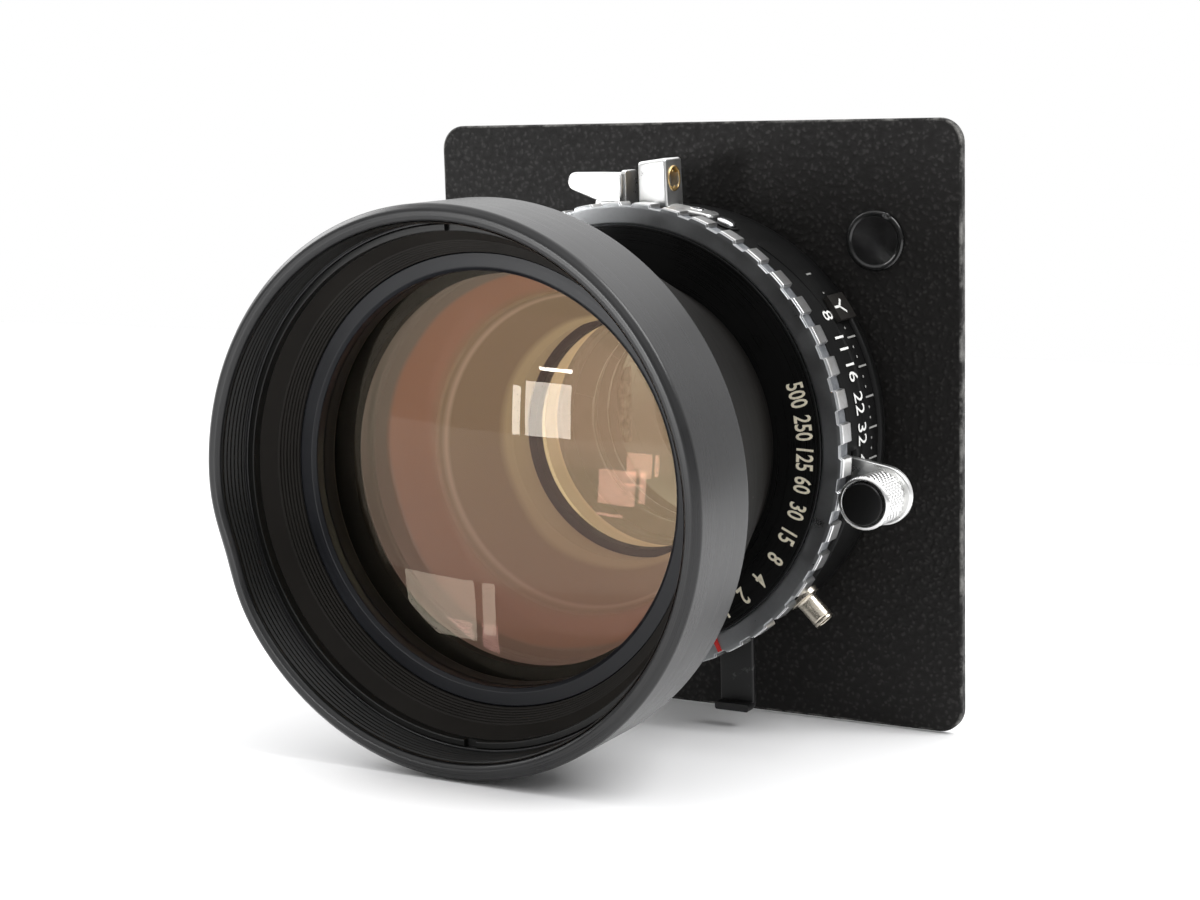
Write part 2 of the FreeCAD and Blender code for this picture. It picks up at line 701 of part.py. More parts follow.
def release_lever():
    """Lever on a pin inside the case, with a thumb tab above it and a tongue for the cable."""
    low, high = ahead(d.lever_z), ahead(d.lever_z) + d.lever_thick
    tab_bottom = d.case_r + 0.9
    tab_right, tab_left = -2.4, -10.7
    tab_tall, slope_tall, end_r = 4.9, 2.0, 1.5
    shoulder = tab_bottom + slope_tall
    tab = box(tab_left, shoulder, low, tab_right - tab_left, tab_tall - slope_tall, d.lever_thick)
    end = cylinder(end_r, low, high, tab_left, tab_bottom + tab_tall - end_r)
    slope = doc.addObject("Part::Wedge", "Slope")
    bind(slope, Xmin=-6.4, Xmax=tab_right, Ymin=tab_bottom, Ymax=shoulder, Zmin=low, Zmax=high)
    bind(slope, X2min=tab_left - 0.5, X2max=tab_right, Z2min=low, Z2max=high)
    shank = box(-7.2, 28.4, low, 4.0, d.case_r + 1.5 - 28.4, d.lever_thick)
    eye = cylinder(2.0, low, low + d.lever_thick, -5.2, 28.4)
    tongue = box(tab_right - 0.8, tab_bottom + 0.3, ahead(d.socket_z + 0.8), 0.8, tab_tall - 0.6,
                 d.lever_z - d.socket_z - 0.6)
    hole = cylinder(0.9, low - 1, low + 3, -5.2, 28.4)
    finish("release_lever", cut(join(tab, end, slope, shank, eye, tongue), hole))
    top = low + d.lever_thick + 0.15
    pin = cylinder(0.85, ahead(d.plate_z + d.plate_thick), top + 0.1, -5.2, 28.4)
    head = cylinder(1.7, top, top + 0.5, -5.2, 28.4)
    finish("release_pin", join(pin, head))


def cable_socket():
    """Block for the cable release, on a curved foot screwed to the case, with a brass bush."""
    low, high = ahead(d.socket_z), ahead(d.socket_z + d.socket_deep)
    block = box(0, d.case_r - 0.6, low, d.socket_wide, d.socket_tall + 0.6, d.socket_deep)
    foot = washer(d.case_r - 1, d.case_r + 0.9, low + 0.6, high - 0.4, sector=19, start=71.5)
    screw_angle = 77
    screw_hole = radial_cylinder(0.75, d.case_r - 1, d.case_r + 2, screw_angle, (low + high) / 2)
    bore_y = d.case_r + d.socket_tall / 2 + 0.6
    middle = (low + high) / 2
    bore = doc.addObject("Part::Cylinder", "SocketBore")
    bind(bore, Radius=d.socket_bore_r + d.fit_gap, Height=d.socket_wide + 2)
    put(bore, -1, bore_y, middle, 90, FreeCAD.Vector(0, 1, 0))
    drum = cylinder(d.case_r, low - 1, high + 1)
    finish("cable_socket", cut(join(block, foot), drum, bore, screw_hole))
    bush = doc.addObject("Part::Cylinder", "Bush")
    bind(bush, Radius=d.socket_bore_r, Height=d.socket_wide - 0.2)
    put(bush, 0.1, bore_y, middle, 90, FreeCAD.Vector(0, 1, 0))
    thread = doc.addObject("Part::Cylinder", "Thread")
    bind(thread, Radius=d.cable_thread_r, Height=d.socket_wide + 2)
    put(thread, -1, bore_y, middle, 90, FreeCAD.Vector(0, 1, 0))
    finish("cable_bush", cut(bush, thread))
    head = radial_cylinder(1.2, d.case_r + 0.9, d.case_r + 1.5, screw_angle, middle)
    shank = radial_cylinder(0.7, d.case_r + 0.05, d.case_r + 1.0, screw_angle, middle)
    finish("socket_screw", join(head, shank))


def sync_terminal():
    """Coaxial flash terminal: flanged metal sleeve, insulator and centre pin."""
    height = ahead(d.sync_z)
    angle = d.sync_angle
    outer = d.case_r + d.sync_long
    flange = cut(
        radial_cylinder(d.sync_r + 0.9, d.case_r - 0.6, d.case_r + 0.8, angle, height),
        cylinder(d.case_r, height - 5, height + 5),
    )
    sleeve = radial_cylinder(d.sync_r, d.case_r + 0.4, outer, angle, height)
    hollow = radial_cylinder(d.sync_r - 0.4, d.case_r - 2, outer + 1, angle, height)
    finish("sync_sleeve", cut(join(flange, sleeve), hollow))
    plug = cut(
        radial_cylinder(d.sync_r - 0.45, d.case_r - 1.4, d.case_r + 1.4, angle, height),
        radial_cylinder(0.45, d.case_r - 3, d.case_r + 3, angle, height),
    )
    finish("sync_insulator", plug)
    shank = radial_cylinder(0.42, d.case_r - 1.4, outer - 1.2, angle, height)
    tip = radial_cylinder(0.3, outer - 1.3, outer - 0.9, angle, height)
    finish("sync_pin", join(shank, tip))


def lock_button():
    """Small domed push button in the case wall."""
    height = ahead(d.button_z)
    inside = d.case_r - d.case_wall
    stem = radial_cylinder(d.button_r, inside - 0.8, d.case_r + 0.9, d.button_angle, height)
    collar = radial_cylinder(d.button_r + 0.35, inside - 1.5, inside - 0.6, d.button_angle, height)
    dome = doc.addObject("Part::Sphere", "Dome")
    bind(dome, Radius=d.button_r * 1.35)
    x, y = polar(d.case_r + 0.9 - d.button_r * 0.9, d.button_angle)
    put(dome, x, y, height)
    core = radial_cylinder(d.button_r, d.case_r, d.case_r + 3, d.button_angle, height)
    finish("lock_button", join(stem, collar, overlap(dome, core)))


def opener_lever():
    """Black lever that holds the leaves open: it hangs on a pin inside and has a bent foot."""
    low, high = ahead(d.opener_z), ahead(d.opener_z) + d.opener_thick
    left, bottom = d.opener_x - d.opener_wide / 2, d.opener_y - d.opener_long
    arm = box(left, bottom, low, d.opener_wide, d.opener_long, d.opener_thick)
    foot = box(left, bottom, low, d.opener_wide, 1.2, 3.4)
    eye = cylinder(d.opener_wide / 2, low, high, d.opener_x, d.opener_y)
    hole = cylinder(0.95, low - 1, high + 1, d.opener_x, d.opener_y)
    finish("opener_lever", cut(join(arm, foot, eye), hole))
    pin = cylinder(0.9, ahead(d.plate_z + d.plate_thick), high + 0.25, d.opener_x, d.opener_y)
    head = cylinder(1.8, high + 0.15, high + 0.6, d.opener_x, d.opener_y)
    finish("opener_pin", join(pin, head))


# ---------------------------------------------------------------- front cell


def front_barrel():
    """One turned barrel: spigot, neck, flare, wide band and filter thread."""
    seat = ahead(d.face_z) + 0.3
    band = ahead(d.band_z)
    rim = ahead(d.rim_z)
    glass_seat = ahead(d.front_glass_z)
    baffle_seat = glass_seat + d.front_glass_edge + d.clamp_thick
    second_seat = glass_seat - d.spacer_long
    second_bore = d.second_glass_r + d.seat_gap
    inner_bore = d.inner_glass_r + d.seat_gap
    inner_lip = d.inner_glass_r - 1
    inner_relief = bulge(d.inner_curve, d.inner_glass_r, inner_lip)
    finish("front_barrel", turned([
        (inner_lip, ahead(d.plate_z)),
        (d.spigot_r, ahead(d.plate_z)),
        (d.spigot_r, seat),
        (d.neck_r, seat),
        (d.neck_r, ahead(d.cone_z)),
        (d.band_r - 1.6, band - 1),
        (d.band_r - 0.5, band),
        (d.band_r, band + 0.5),
        (d.band_r, rim - d.rim_bevel),
        (d.band_r - d.rim_bevel, rim),
        (d.thread_r, rim),
        (d.thread_r, rim - d.thread_long),
        (d.hood_bore_r, rim - d.thread_long),
        (d.hood_bore_r, baffle_seat),
        (cell_bore(), baffle_seat),
        (cell_bore(), second_seat),
        (second_bore, second_seat),
        (second_bore, second_seat - d.second_edge),
        (second_bore - 2, second_seat - d.second_edge),
        (inner_bore, ahead(d.inner_glass_z) + 12),
        (inner_bore, ahead(d.inner_glass_z)),
        (inner_lip, ahead(d.inner_glass_z) - inner_relief),
    ]))


def hood_ring():
    """Ring with two spanner notches at the foot of the filter thread."""
    low = ahead(d.rim_z) - d.thread_long - d.hood_thick
    high = low + d.hood_thick
    ring = washer(d.hood_r, d.hood_bore_r - d.fit_gap, low, high)
    wide, deep, reach = 2.0, 0.7, 2.4
    notches = [
        box(-wide / 2, d.hood_r - 0.6, high - deep, wide, reach, 2),
        box(-wide / 2, -d.hood_r + 0.6 - reach, high - deep, wide, reach, 2),
    ]
    finish("hood_ring", cut(ring, *notches))


def baffle():
    """Grooved cone that leads from the notched ring down to the front glass."""
    top = ahead(d.rim_z) - d.thread_long - d.hood_thick
    low = ahead(d.front_glass_z) + d.front_glass_edge + d.clamp_thick
    outer = d.hood_bore_r - d.fit_gap
    finish("baffle", turned([
        (cell_bore(), low),
        (outer, low),
        (outer, top),
        (d.hood_r, top),
    ]))


def front_clamp():
    """Ring that clamps the front glass in its bore."""
    low = ahead(d.front_glass_z) + d.front_glass_edge
    finish("front_clamp", turned([
        (clamp_open() + 0.5, low + bulge(d.front_curve, d.front_glass_r, clamp_open() + 0.5)),
        (cell_bore() - d.fit_gap, low),
        (cell_bore() - d.fit_gap, low + d.clamp_thick),
        (clamp_open() + 0.5, low + d.clamp_thick),
        (clamp_open(), low + d.clamp_thick - 0.5),
    ]))


def glass(label, edge_r, low, edge, front_curve=None, back_curve=None):
    """A lens element: a disc whose faces are parts of spheres, bulging out or hollowed in."""
    low, edge_r = as_size(low), as_size(edge_r)
    high = low + edge
    depth = 12
    solid = cylinder(edge_r, low - depth, high + depth)
    hollows = []
    for curve, face, outward in ((front_curve, high, 1), (back_curve, low, -1)):
        if curve is None:
            hollows.append(flat_limit(edge_r, face, outward, depth))
            continue
        convex, radius = curve
        rise = sagitta(radius, edge_r)
        ball = doc.addObject("Part::Sphere", "Ball")
        bind(ball, Radius=radius)
        sign = outward if convex else -outward
        put(ball, 0, 0, face - (as_size(radius) - rise) * sign)
        if convex:
            solid = overlap(solid, ball)
        else:
            hollows += [ball, flat_limit(edge_r, face, outward, depth)]
    finish(label, cut(solid, *hollows) if hollows else solid)


def sagitta(radius, edge_r):
    """How far a sphere bulges over a disc of a given edge radius."""
    radius, edge_r = as_size(radius), as_size(edge_r)
    rise = radius.value - math.sqrt(radius.value ** 2 - edge_r.value ** 2)
    return Size(rise, f"({radius.formula} - sqrt({radius.formula}^2 - {edge_r.formula}^2))")


def bulge(curve, edge_r, inner):
    """How far a ring that bears on a bulging face is relieved at its own inner radius."""
    return sagitta(curve, edge_r) - sagitta(curve, inner) + 0.02


def flat_limit(edge_r, face, outward, depth):
    """What lies beyond a flat end of an element."""
    if outward > 0:
        return cylinder(edge_r + 1, face, face + depth + 1)
    return cylinder(edge_r + 1, face - depth - 1, face)


def front_glasses():
    glass("front_glass", d.front_glass_r, ahead(d.front_glass_z), d.front_glass_edge,
          (True, d.front_curve), (True, d.back_curve))
    low = ahead(d.front_glass_z) - d.spacer_long
    bore = cell_bore() - d.fit_gap
    inner = d.second_glass_r - 2
    hollow = bulge(d.back_curve, d.front_glass_r, inner)
    finish("front_spacer", turned([
        (inner, low),
        (bore, low),
        (bore, ahead(d.front_glass_z)),
        (inner, ahead(d.front_glass_z) - hollow),
    ]))
    glass("second_glass", d.second_glass_r, low - d.second_edge, d.second_edge,
          (False, 420), (False, 320))
    glass("inner_glass", d.inner_glass_r, ahead(d.inner_glass_z), d.inner_edge,
          (False, 70), (True, d.inner_curve))
    ring_low = ahead(d.inner_glass_z) + d.inner_edge
    finish("inner_clamp", washer(d.inner_glass_r - 1.2, d.inner_glass_r + 0.05, ring_low, ring_low + 1.6))


# ---------------------------------------------------------------- rear cell


def rear_flange_z():
    """Front face of the rear cell's wide part, behind the mounting nut."""
    return -d.nut_thick - d.rear_neck


def rear_cell():
    front = rear_flange_z()
    back = front - d.rear_long
    shelf = front - 2.4
    glass_bore = d.rear_glass_r + 0.1
    finish("rear_barrel", turned([
        (d.rear_bore_r - 1.9, ahead(0.4)),
        (d.rear_bore_r - d.fit_gap, ahead(0.4)),
        (d.rear_bore_r - d.fit_gap, -d.tube_behind - 0.2),
        (rear_outside() - 1, -d.tube_behind - 0.2),
        (rear_outside(), -d.tube_behind - 1.2),
        (rear_outside(), back + 0.8),
        (rear_outside() - 0.8, back),
        (glass_bore, back),
        (glass_bore, shelf),
        (d.rear_bore_r - 1.9, shelf),
    ]))
    first = shelf - d.rear_edge
    glass("rear_glass_1", d.rear_glass_r, first, d.rear_edge, (False, 90), (True, d.rear_curve))
    second = first - d.rear_space - d.rear_edge
    inner, outer = d.rear_glass_r - 1.6, d.rear_glass_r + d.fit_gap
    finish("rear_spacer", turned([
        (inner, first - d.rear_space + bulge(d.last_curve, d.rear_glass_r, inner)),
        (outer, first - d.rear_space),
        (outer, first),
        (inner, first - bulge(d.rear_curve, d.rear_glass_r, inner)),
    ]))
    glass("rear_glass_2", d.rear_glass_r, second, d.rear_edge, (True, d.last_curve), (False, 160))
    finish("rear_clamp", washer(d.rear_glass_r - 1.8, d.rear_glass_r + 0.05, second - 1.8, second))


# ---------------------------------------------------------------- build, check and export


def build():
    lens_board()
    board_plug()
    shutter_case()
    jam_nut()
    aperture_scale()
    mechanism_plate()
    front_bush()
    dial_plate()
    dial_seat()
    speed_ring()
    speed_face()
    iris_leaves()
    shutter_leaves()
    aperture_lever()
    drive_ring()
    cocking_lever()
    release_lever()
    cable_socket()
    sync_terminal()
    lock_button()
    opener_lever()
    front_barrel()
    hood_ring()
    baffle()
    front_clamp()
    front_glasses()
    rear_cell()
    doc.recompute()


def check():
    """Stop if any object failed or any sub-part is empty, invalid or in several pieces."""
    for obj in doc.Objects:
        if "Invalid" in obj.State or "Error" in obj.State:
            raise RuntimeError(f"{obj.Label} failed: {obj.State}")
    for obj in sub_parts:
        if obj.Shape.isNull() or not obj.Shape.isValid():
            raise RuntimeError(f"{obj.Label} has no valid shape")
        if len(obj.Shape.Solids) != 1:
            raise RuntimeError(f"{obj.Label} has {len(obj.Shape.Solids)} solids")


def export():
    os.makedirs("parts", exist_ok=True)
    for obj in sub_parts:
        obj.Shape.exportStep(f"parts/{obj.Label}.step")
        box_of = obj.Shape.BoundBox
        print(f"{obj.Label:18s} {obj.Shape.Volume:10.2f} mm3  x {box_of.XMin:7.2f} {box_of.XMax:7.2f}"
              f"  y {box_of.YMin:7.2f} {box_of.YMax:7.2f}  z {box_of.ZMin:7.2f} {box_of.ZMax:7.2f}")


build()
check()
export()
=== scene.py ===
import json
import math

import bmesh
import bpy
import numpy as np
from mathutils import Matrix, Vector


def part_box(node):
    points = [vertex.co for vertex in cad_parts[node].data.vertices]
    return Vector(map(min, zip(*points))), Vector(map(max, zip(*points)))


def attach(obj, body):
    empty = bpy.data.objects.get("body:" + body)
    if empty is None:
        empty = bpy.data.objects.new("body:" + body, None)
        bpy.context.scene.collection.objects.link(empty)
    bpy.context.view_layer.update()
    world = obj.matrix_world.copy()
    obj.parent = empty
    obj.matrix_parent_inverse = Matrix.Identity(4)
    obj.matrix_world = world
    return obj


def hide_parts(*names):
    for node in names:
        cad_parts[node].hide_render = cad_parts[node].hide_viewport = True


bl_info = {
    "name": "Board lens and leaf shutter",
    "version": (1, 0, 0),
    "blender": (4, 5, 0),
    "location": "View3D > Sidebar > Board Lens",
    "description": "Builds a long lens and its leaf shutter on a square lens board",
    "category": "Add Mesh",
}

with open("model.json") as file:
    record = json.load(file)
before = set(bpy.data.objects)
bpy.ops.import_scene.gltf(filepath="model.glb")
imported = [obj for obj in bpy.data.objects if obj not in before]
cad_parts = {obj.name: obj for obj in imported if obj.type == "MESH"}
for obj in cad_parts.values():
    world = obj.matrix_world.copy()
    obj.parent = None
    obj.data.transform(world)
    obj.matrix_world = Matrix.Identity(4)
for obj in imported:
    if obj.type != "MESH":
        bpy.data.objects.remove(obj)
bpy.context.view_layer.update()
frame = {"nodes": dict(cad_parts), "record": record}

MM = 0.001
TURN = 2 * math.pi
QUARTER = math.pi / 2


def ahead_of(node):
    """How far a node reaches back and forward of the board's back face, in millimetres."""
    low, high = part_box(node)
    return -high.y / MM, -low.y / MM


def radius_of(node):
    """Outside radius of a node that is turned about the optical axis, in millimetres."""
    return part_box(node)[1].x / MM


BOARD_BACK, BOARD_FRONT = ahead_of("lens_board")
RIM = ahead_of("front_barrel")[1]
BAND_RADIUS = radius_of("front_barrel")
CASE_RADIUS = radius_of("aperture_scale") - 0.2
CASE_RIM = BOARD_FRONT + 19.4
DIAL_FACE = ahead_of("dial_plate")[1]
DIAL_RADIUS = radius_of("dial_plate")
RING_BACK, RING_FRONT = ahead_of("speed_ring")
RING_RADIUS = radius_of("speed_ring")
TAB_RADIUS = CASE_RADIUS + 1.2


# ---------------------------------------------------------------- surfaces


def to_row(x, up, ahead):
    """Millimetres right, up and forward of the optical axis become points of the row in metres."""
    x, up, ahead = np.broadcast_arrays(x, up, ahead)
    return np.stack([x, -ahead, up], axis=-1) * MM


def straight(x=0.0, up=0.0, ahead=0.0, turn=0.0):
    """Mapping for work lying square to the optical axis: a and b across it, h forward."""
    cos, sin = math.cos(math.radians(turn)), math.sin(math.radians(turn))

    def place(a, b, h):
        return to_row(x + a * cos - b * sin, up + a * sin + b * cos, ahead + h)

    return place


def sideways(x, up, ahead):
    """Mapping for work that faces right: a runs up, b runs forward, h to the right."""

    def place(a, b, h):
        return to_row(x + h, up + a, ahead + b)

    return place


def wrapped(radius, angle, ahead):
    """Mapping for work bent round the case: a is arc length, b runs forward, h stands outwards."""

    def place(a, b, h):
        t = math.radians(angle) + a / radius
        return to_row((radius + h) * np.cos(t), (radius + h) * np.sin(t), ahead + b)

    return place


def standing(radius, angle, ahead):
    """Mapping for work on a spoke: h runs straight out along it, a round the case, b forward."""
    cos, sin = math.cos(math.radians(angle)), math.sin(math.radians(angle))

    def place(a, b, h):
        return to_row((radius + h) * cos - a * sin, (radius + h) * sin + a * cos, ahead + b)

    return place


def soften(corners, radius, steps=4, closed=True):
    """Round the corners of an outline: each becomes a quadratic curve, with a guard point on both sides of it."""
    p = np.asarray(corners, float)
    to_last, to_next = np.roll(p, 1, 0) - p, np.roll(p, -1, 0) - p
    last, following = np.linalg.norm(to_last, axis=1), np.linalg.norm(to_next, axis=1)
    reach = np.minimum(radius, 0.4 * np.minimum(last, following))[:, None]
    back, onward = to_last / last[:, None], to_next / following[:, None]
    start, end = p + back * reach, p + onward * reach
    t = np.linspace(0, 1, steps + 1)[None, :, None]
    curve = (1 - t) ** 2 * start[:, None] + 2 * t * (1 - t) * p[:, None] + t ** 2 * end[:, None]
    guarded = np.concatenate([(p + back * reach * 1.2)[:, None], curve,
                              (p + onward * reach * 1.2)[:, None]], axis=1)
    if closed:
        return guarded.reshape(-1, 2)
    return np.concatenate([p[:1], guarded[1:-1].reshape(-1, 2), p[-1:]])


def grid_faces(rows, columns, wrap_rows, wrap_columns):
    """Four-sided faces between the neighbours of a grid of points."""
    r = np.arange(rows if wrap_rows else rows - 1)
    c = np.arange(columns if wrap_columns else columns - 1)
    r, c = np.meshgrid(r, c, indexing="ij")
    beside, below = (c + 1) % columns, (r + 1) % rows
    return np.stack([r * columns + c, r * columns + beside, below * columns + beside, below * columns + c],
                    axis=-1).reshape(-1, 4)


def piece(name, points, faces, finish, body, sharp=40.0, slot=None, closed=True):
    """Make a mesh object of points and faces, merge its seams, turn its faces outwards and let it ride."""
    mesh = bpy.data.meshes.new(name)
    mesh.from_pydata(points.reshape(-1, 3).tolist(), [],
                     faces.tolist() if isinstance(faces, np.ndarray) else faces)
    work = bmesh.new()
    work.from_mesh(mesh)
    bmesh.ops.remove_doubles(work, verts=work.verts, dist=1e-7)
    bmesh.ops.dissolve_degenerate(work, edges=work.edges, dist=1e-8)
    if closed:
        bmesh.ops.recalc_face_normals(work, faces=work.faces)
    work.to_mesh(mesh)
    work.free()
    mesh.shade_smooth()
    mesh.set_sharp_from_angle(angle=math.radians(sharp))
    mesh.materials.append(finish)
    made = bpy.data.objects.new(name, mesh)
    bpy.context.scene.collection.objects.link(made)
    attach(made, body)
    return made


def revolved(name, profile, place, finish, body, steps=192, closed=True, ripple=None, **extra):
    """Turned work: every (radius, height) of the profile is carried round the axis, with an optional ripple.

    A point is (radius cos t, radius sin t, height); the ripple changes radius and height as a function of t.
    """
    profile = np.asarray(profile, float)
    t = np.linspace(0, TURN, steps, endpoint=False)[None, :]
    radius = np.repeat(profile[:, :1], steps, axis=1)
    height = np.repeat(profile[:, 1:], steps, axis=1)
    if ripple:
        radius, height = ripple(t, radius, height)
    points = place(radius * np.cos(t), radius * np.sin(t), height)
    return piece(name, points, grid_faces(*radius.shape, closed, True), finish, body, **extra)


def rounded_rectangle(wide, tall, corner, steps=8):
    """Outline as a function of how far it is drawn in: four quarter circles joined by straight sides."""

    def outline(inset):
        r = max(corner - inset, 0.02)
        t = np.linspace(0, QUARTER, steps)
        quarter = np.stack([np.cos(t), np.sin(t)], axis=-1) * r
        sides = []
        for index in range(4):
            c, s = math.cos(index * QUARTER), math.sin(index * QUARTER)
            half = ((wide if index % 2 == 0 else tall) / 2 - inset - r,
                    (tall if index % 2 == 0 else wide) / 2 - inset - r)
            arc = quarter + half
            sides.append(arc @ np.array([[c, s], [-s, c]]))
        return np.concatenate(sides)

    return outline


def hull_outline(points):
    """Outline of any convex loop as a function of how far it is drawn in along its own normals."""
    points = np.asarray(points, float)
    along = np.roll(points, -1, 0) - np.roll(points, 1, 0)
    along /= np.linalg.norm(along, axis=1)[:, None]
    inward = np.stack([-along[:, 1], along[:, 0]], axis=-1)
    return lambda inset: points + inward * inset


def slab(name, outline, thick, bevel, place, finish, body, hole=None, fill=6, **extra):
    """Flat work: an outline drawn in towards the middle on both faces and rounded over at its edge.

    Row k of the edge is drawn in by bevel(1 - sin k) and lowered by bevel(1 - cos k). A hole is a circle
    whose points lie at the same bearings as the outline's.
    """
    angle = np.linspace(0, QUARTER, 5)
    insets = bevel * (1 - np.sin(angle))
    drops = bevel * (1 - np.cos(angle))
    middle = outline(0).mean(axis=0)
    inner = outline(bevel * 1.25)
    if hole is None:
        ends = [middle + (inner - middle) * share for share in np.linspace(0, 1, fill + 1)]
    else:
        centre, size = np.asarray(hole[:2], float), hole[2]
        bearing = np.arctan2(*(inner - centre).T[::-1])
        ring = centre + size * np.stack([np.cos(bearing), np.sin(bearing)], axis=-1)
        ends = [ring + (inner - ring) * share for share in np.linspace(0, 1, fill + 1)]
    edge = [outline(inset) for inset in insets]
    rows = ends + edge + edge[::-1] + ends[::-1]
    heights = [thick] * len(ends) + list(thick - drops) + list(drops[::-1]) + [0.0] * len(ends)
    flat = np.stack(rows)
    height = np.repeat(np.array(heights)[:, None], flat.shape[1], axis=1)
    points = place(flat[..., 0], flat[..., 1], height)
    return piece(name, points, grid_faces(*height.shape, hole is not None, True), finish, body, **extra)


def swept(name, section, path, finish, body, **extra):
    """A section carried along a path in the plane of up and forward, its own plane square to the path."""
    path = np.asarray(path, float)
    along = np.gradient(path, axis=0)
    along /= np.linalg.norm(along, axis=1)[:, None]
    across = np.stack([-along[:, 1], along[:, 0]], axis=-1)
    x = np.repeat(section[None, :, 0], len(path), axis=0) + extra.pop("x", 0.0)
    up = path[:, None, 0] + across[:, None, 0] * section[None, :, 1]
    ahead = path[:, None, 1] + across[:, None, 1] * section[None, :, 1]
    ends = to_row(x[[0, -1]].mean(axis=1), path[[0, -1], 0], path[[0, -1], 1])
    points = to_row(x, up, ahead)
    cap = np.ones((1, points.shape[1], 1))
    points = np.concatenate([cap * ends[0], points, cap * ends[1]])
    return piece(name, points, grid_faces(points.shape[0], points.shape[1], False, True), finish, body,
                 **extra)


def figure_shape(text, tall, narrow, weight):
    """Points and faces of a figure or mark, centred, its height and narrowing given."""
    curve = bpy.data.curves.new("figure", "FONT")
    curve.body = text
    curve.align_x, curve.align_y = "CENTER", "CENTER"
    curve.extrude = 0.02
    curve.offset = weight
    curve.resolution_u = 3
    holder = bpy.data.objects.new("figure", curve)
    bpy.context.scene.collection.objects.link(holder)
    bpy.context.view_layer.update()
    mesh = bpy.data.meshes.new_from_object(holder.evaluated_get(bpy.context.evaluated_depsgraph_get()))
    points = np.zeros(len(mesh.vertices) * 3)
    mesh.vertices.foreach_get("co", points)
    points = points.reshape(-1, 3)
    low, high = points.min(axis=0), points.max(axis=0)
    scale = tall / (high[1] - low[1])
    points = (points - (low + high) / 2) * (scale * narrow, scale, 1.0)
    faces = [list(face.vertices) for face in mesh.polygons]
    bpy.data.objects.remove(holder)
    bpy.data.curves.remove(curve)
    bpy.data.meshes.remove(mesh)
    return points, faces


def figures(name, marks, finish, body, weight=0.0):
    """Join figures into one piece. Each mark is (text, height, narrowing, mapping)."""
    points, faces, count = [], [], 0
    for text, tall, narrow, place in marks:
        shape, sides = figure_shape(text, tall, narrow, weight)
        points.append(place(shape[:, 0], shape[:, 1], shape[:, 2]))
        faces += [[corner + count for corner in side] for side in sides]
        count += len(shape)
    return piece(name, np.concatenate(points), faces, finish, body)


def strokes(name, lines, wide, thick, place, finish, body):
    """Join thin painted lines into one piece: each is a little box from (a, b) to (a, b)."""
    lines = np.asarray(lines, float)
    start, end = lines[:, 0], lines[:, 1]
    along = (end - start) / np.linalg.norm(end - start, axis=1)[:, None]
    across = np.stack([-along[:, 1], along[:, 0]], axis=-1) * wide / 2
    loop = np.stack([start - across, end - across, end + across, start + across], axis=1)
    low = place(loop[..., 0], loop[..., 1], np.zeros(loop.shape[:2]))
    high = place(loop[..., 0], loop[..., 1], np.full(loop.shape[:2], thick))
    points = np.concatenate([low, high], axis=1)
    box = np.array([[0, 3, 2, 1], [4, 5, 6, 7], [0, 1, 5, 4], [1, 2, 6, 5], [2, 3, 7, 6], [3, 0, 4, 7]])
    faces = (box[None] + 8 * np.arange(len(lines))[:, None, None]).reshape(-1, 4)
    return piece(name, points, faces, finish, body)


# ---------------------------------------------------------------- finishes


def group(name, inputs, outputs):
    """An empty node group with named inputs (name, kind, value) and outputs (name, kind)."""
    tree = bpy.data.node_groups.new(name, "ShaderNodeTree")
    for label, kind, value in inputs:
        socket = tree.interface.new_socket(label, in_out="INPUT", socket_type=kind)
        if value is not None:
            socket.default_value = value
    for label, kind in outputs:
        tree.interface.new_socket(label, in_out="OUTPUT", socket_type=kind)
    return tree, tree.nodes.new("NodeGroupInput"), tree.nodes.new("NodeGroupOutput")


def node(tree, kind, links=(), **settings):
    """Add a node, set its properties, and link or fill its inputs from (input, source) pairs."""
    made = tree.nodes.new(kind)
    for key, value in settings.items():
        setattr(made, key, value)
    for target, source in links:
        if isinstance(source, bpy.types.NodeSocket):
            tree.links.new(source, made.inputs[target])
        else:
            made.inputs[target].default_value = source
    return made


def maths(tree, operation, first, second=None, clamp=False):
    pairs = [(0, first)] + ([(1, second)] if second is not None else [])
    return node(tree, "ShaderNodeMath", pairs, operation=operation, use_clamp=clamp).outputs[0]


def span(tree, value, low, high, to_low=0.0, to_high=1.0):
    """Map a value from one range to another, held at its ends."""
    pairs = [("Value", value), ("From Min", low), ("From Max", high), ("To Min", to_low),
             ("To Max", to_high)]
    return node(tree, "ShaderNodeMapRange", pairs).outputs["Result"]


def noise(tree, vector, scale, detail=2.0, rough=0.5):
    pairs = [("Vector", vector), ("Scale", scale), ("Detail", detail), ("Roughness", rough)]
    return node(tree, "ShaderNodeTexNoise", pairs).outputs["Fac"]


def grain_group():
    """Fine even grain of painted or blasted work: two sizes of noise added."""
    tree, given, out = group("fine_grain", [("Vector", "NodeSocketVector", None),
                                            ("Scale", "NodeSocketFloat", 3000.0)],
                             [("Height", "NodeSocketFloat")])
    coarse = noise(tree, given.outputs["Vector"], given.outputs["Scale"], 3.0, 0.6)
    finer = maths(tree, "MULTIPLY", given.outputs["Scale"], 2.7)
    fine = noise(tree, given.outputs["Vector"], finer, 2.0)
    tree.links.new(maths(tree, "ADD", maths(tree, "MULTIPLY", coarse, 0.7),
                         maths(tree, "MULTIPLY", fine, 0.3)),
                   out.inputs["Height"])
    return tree


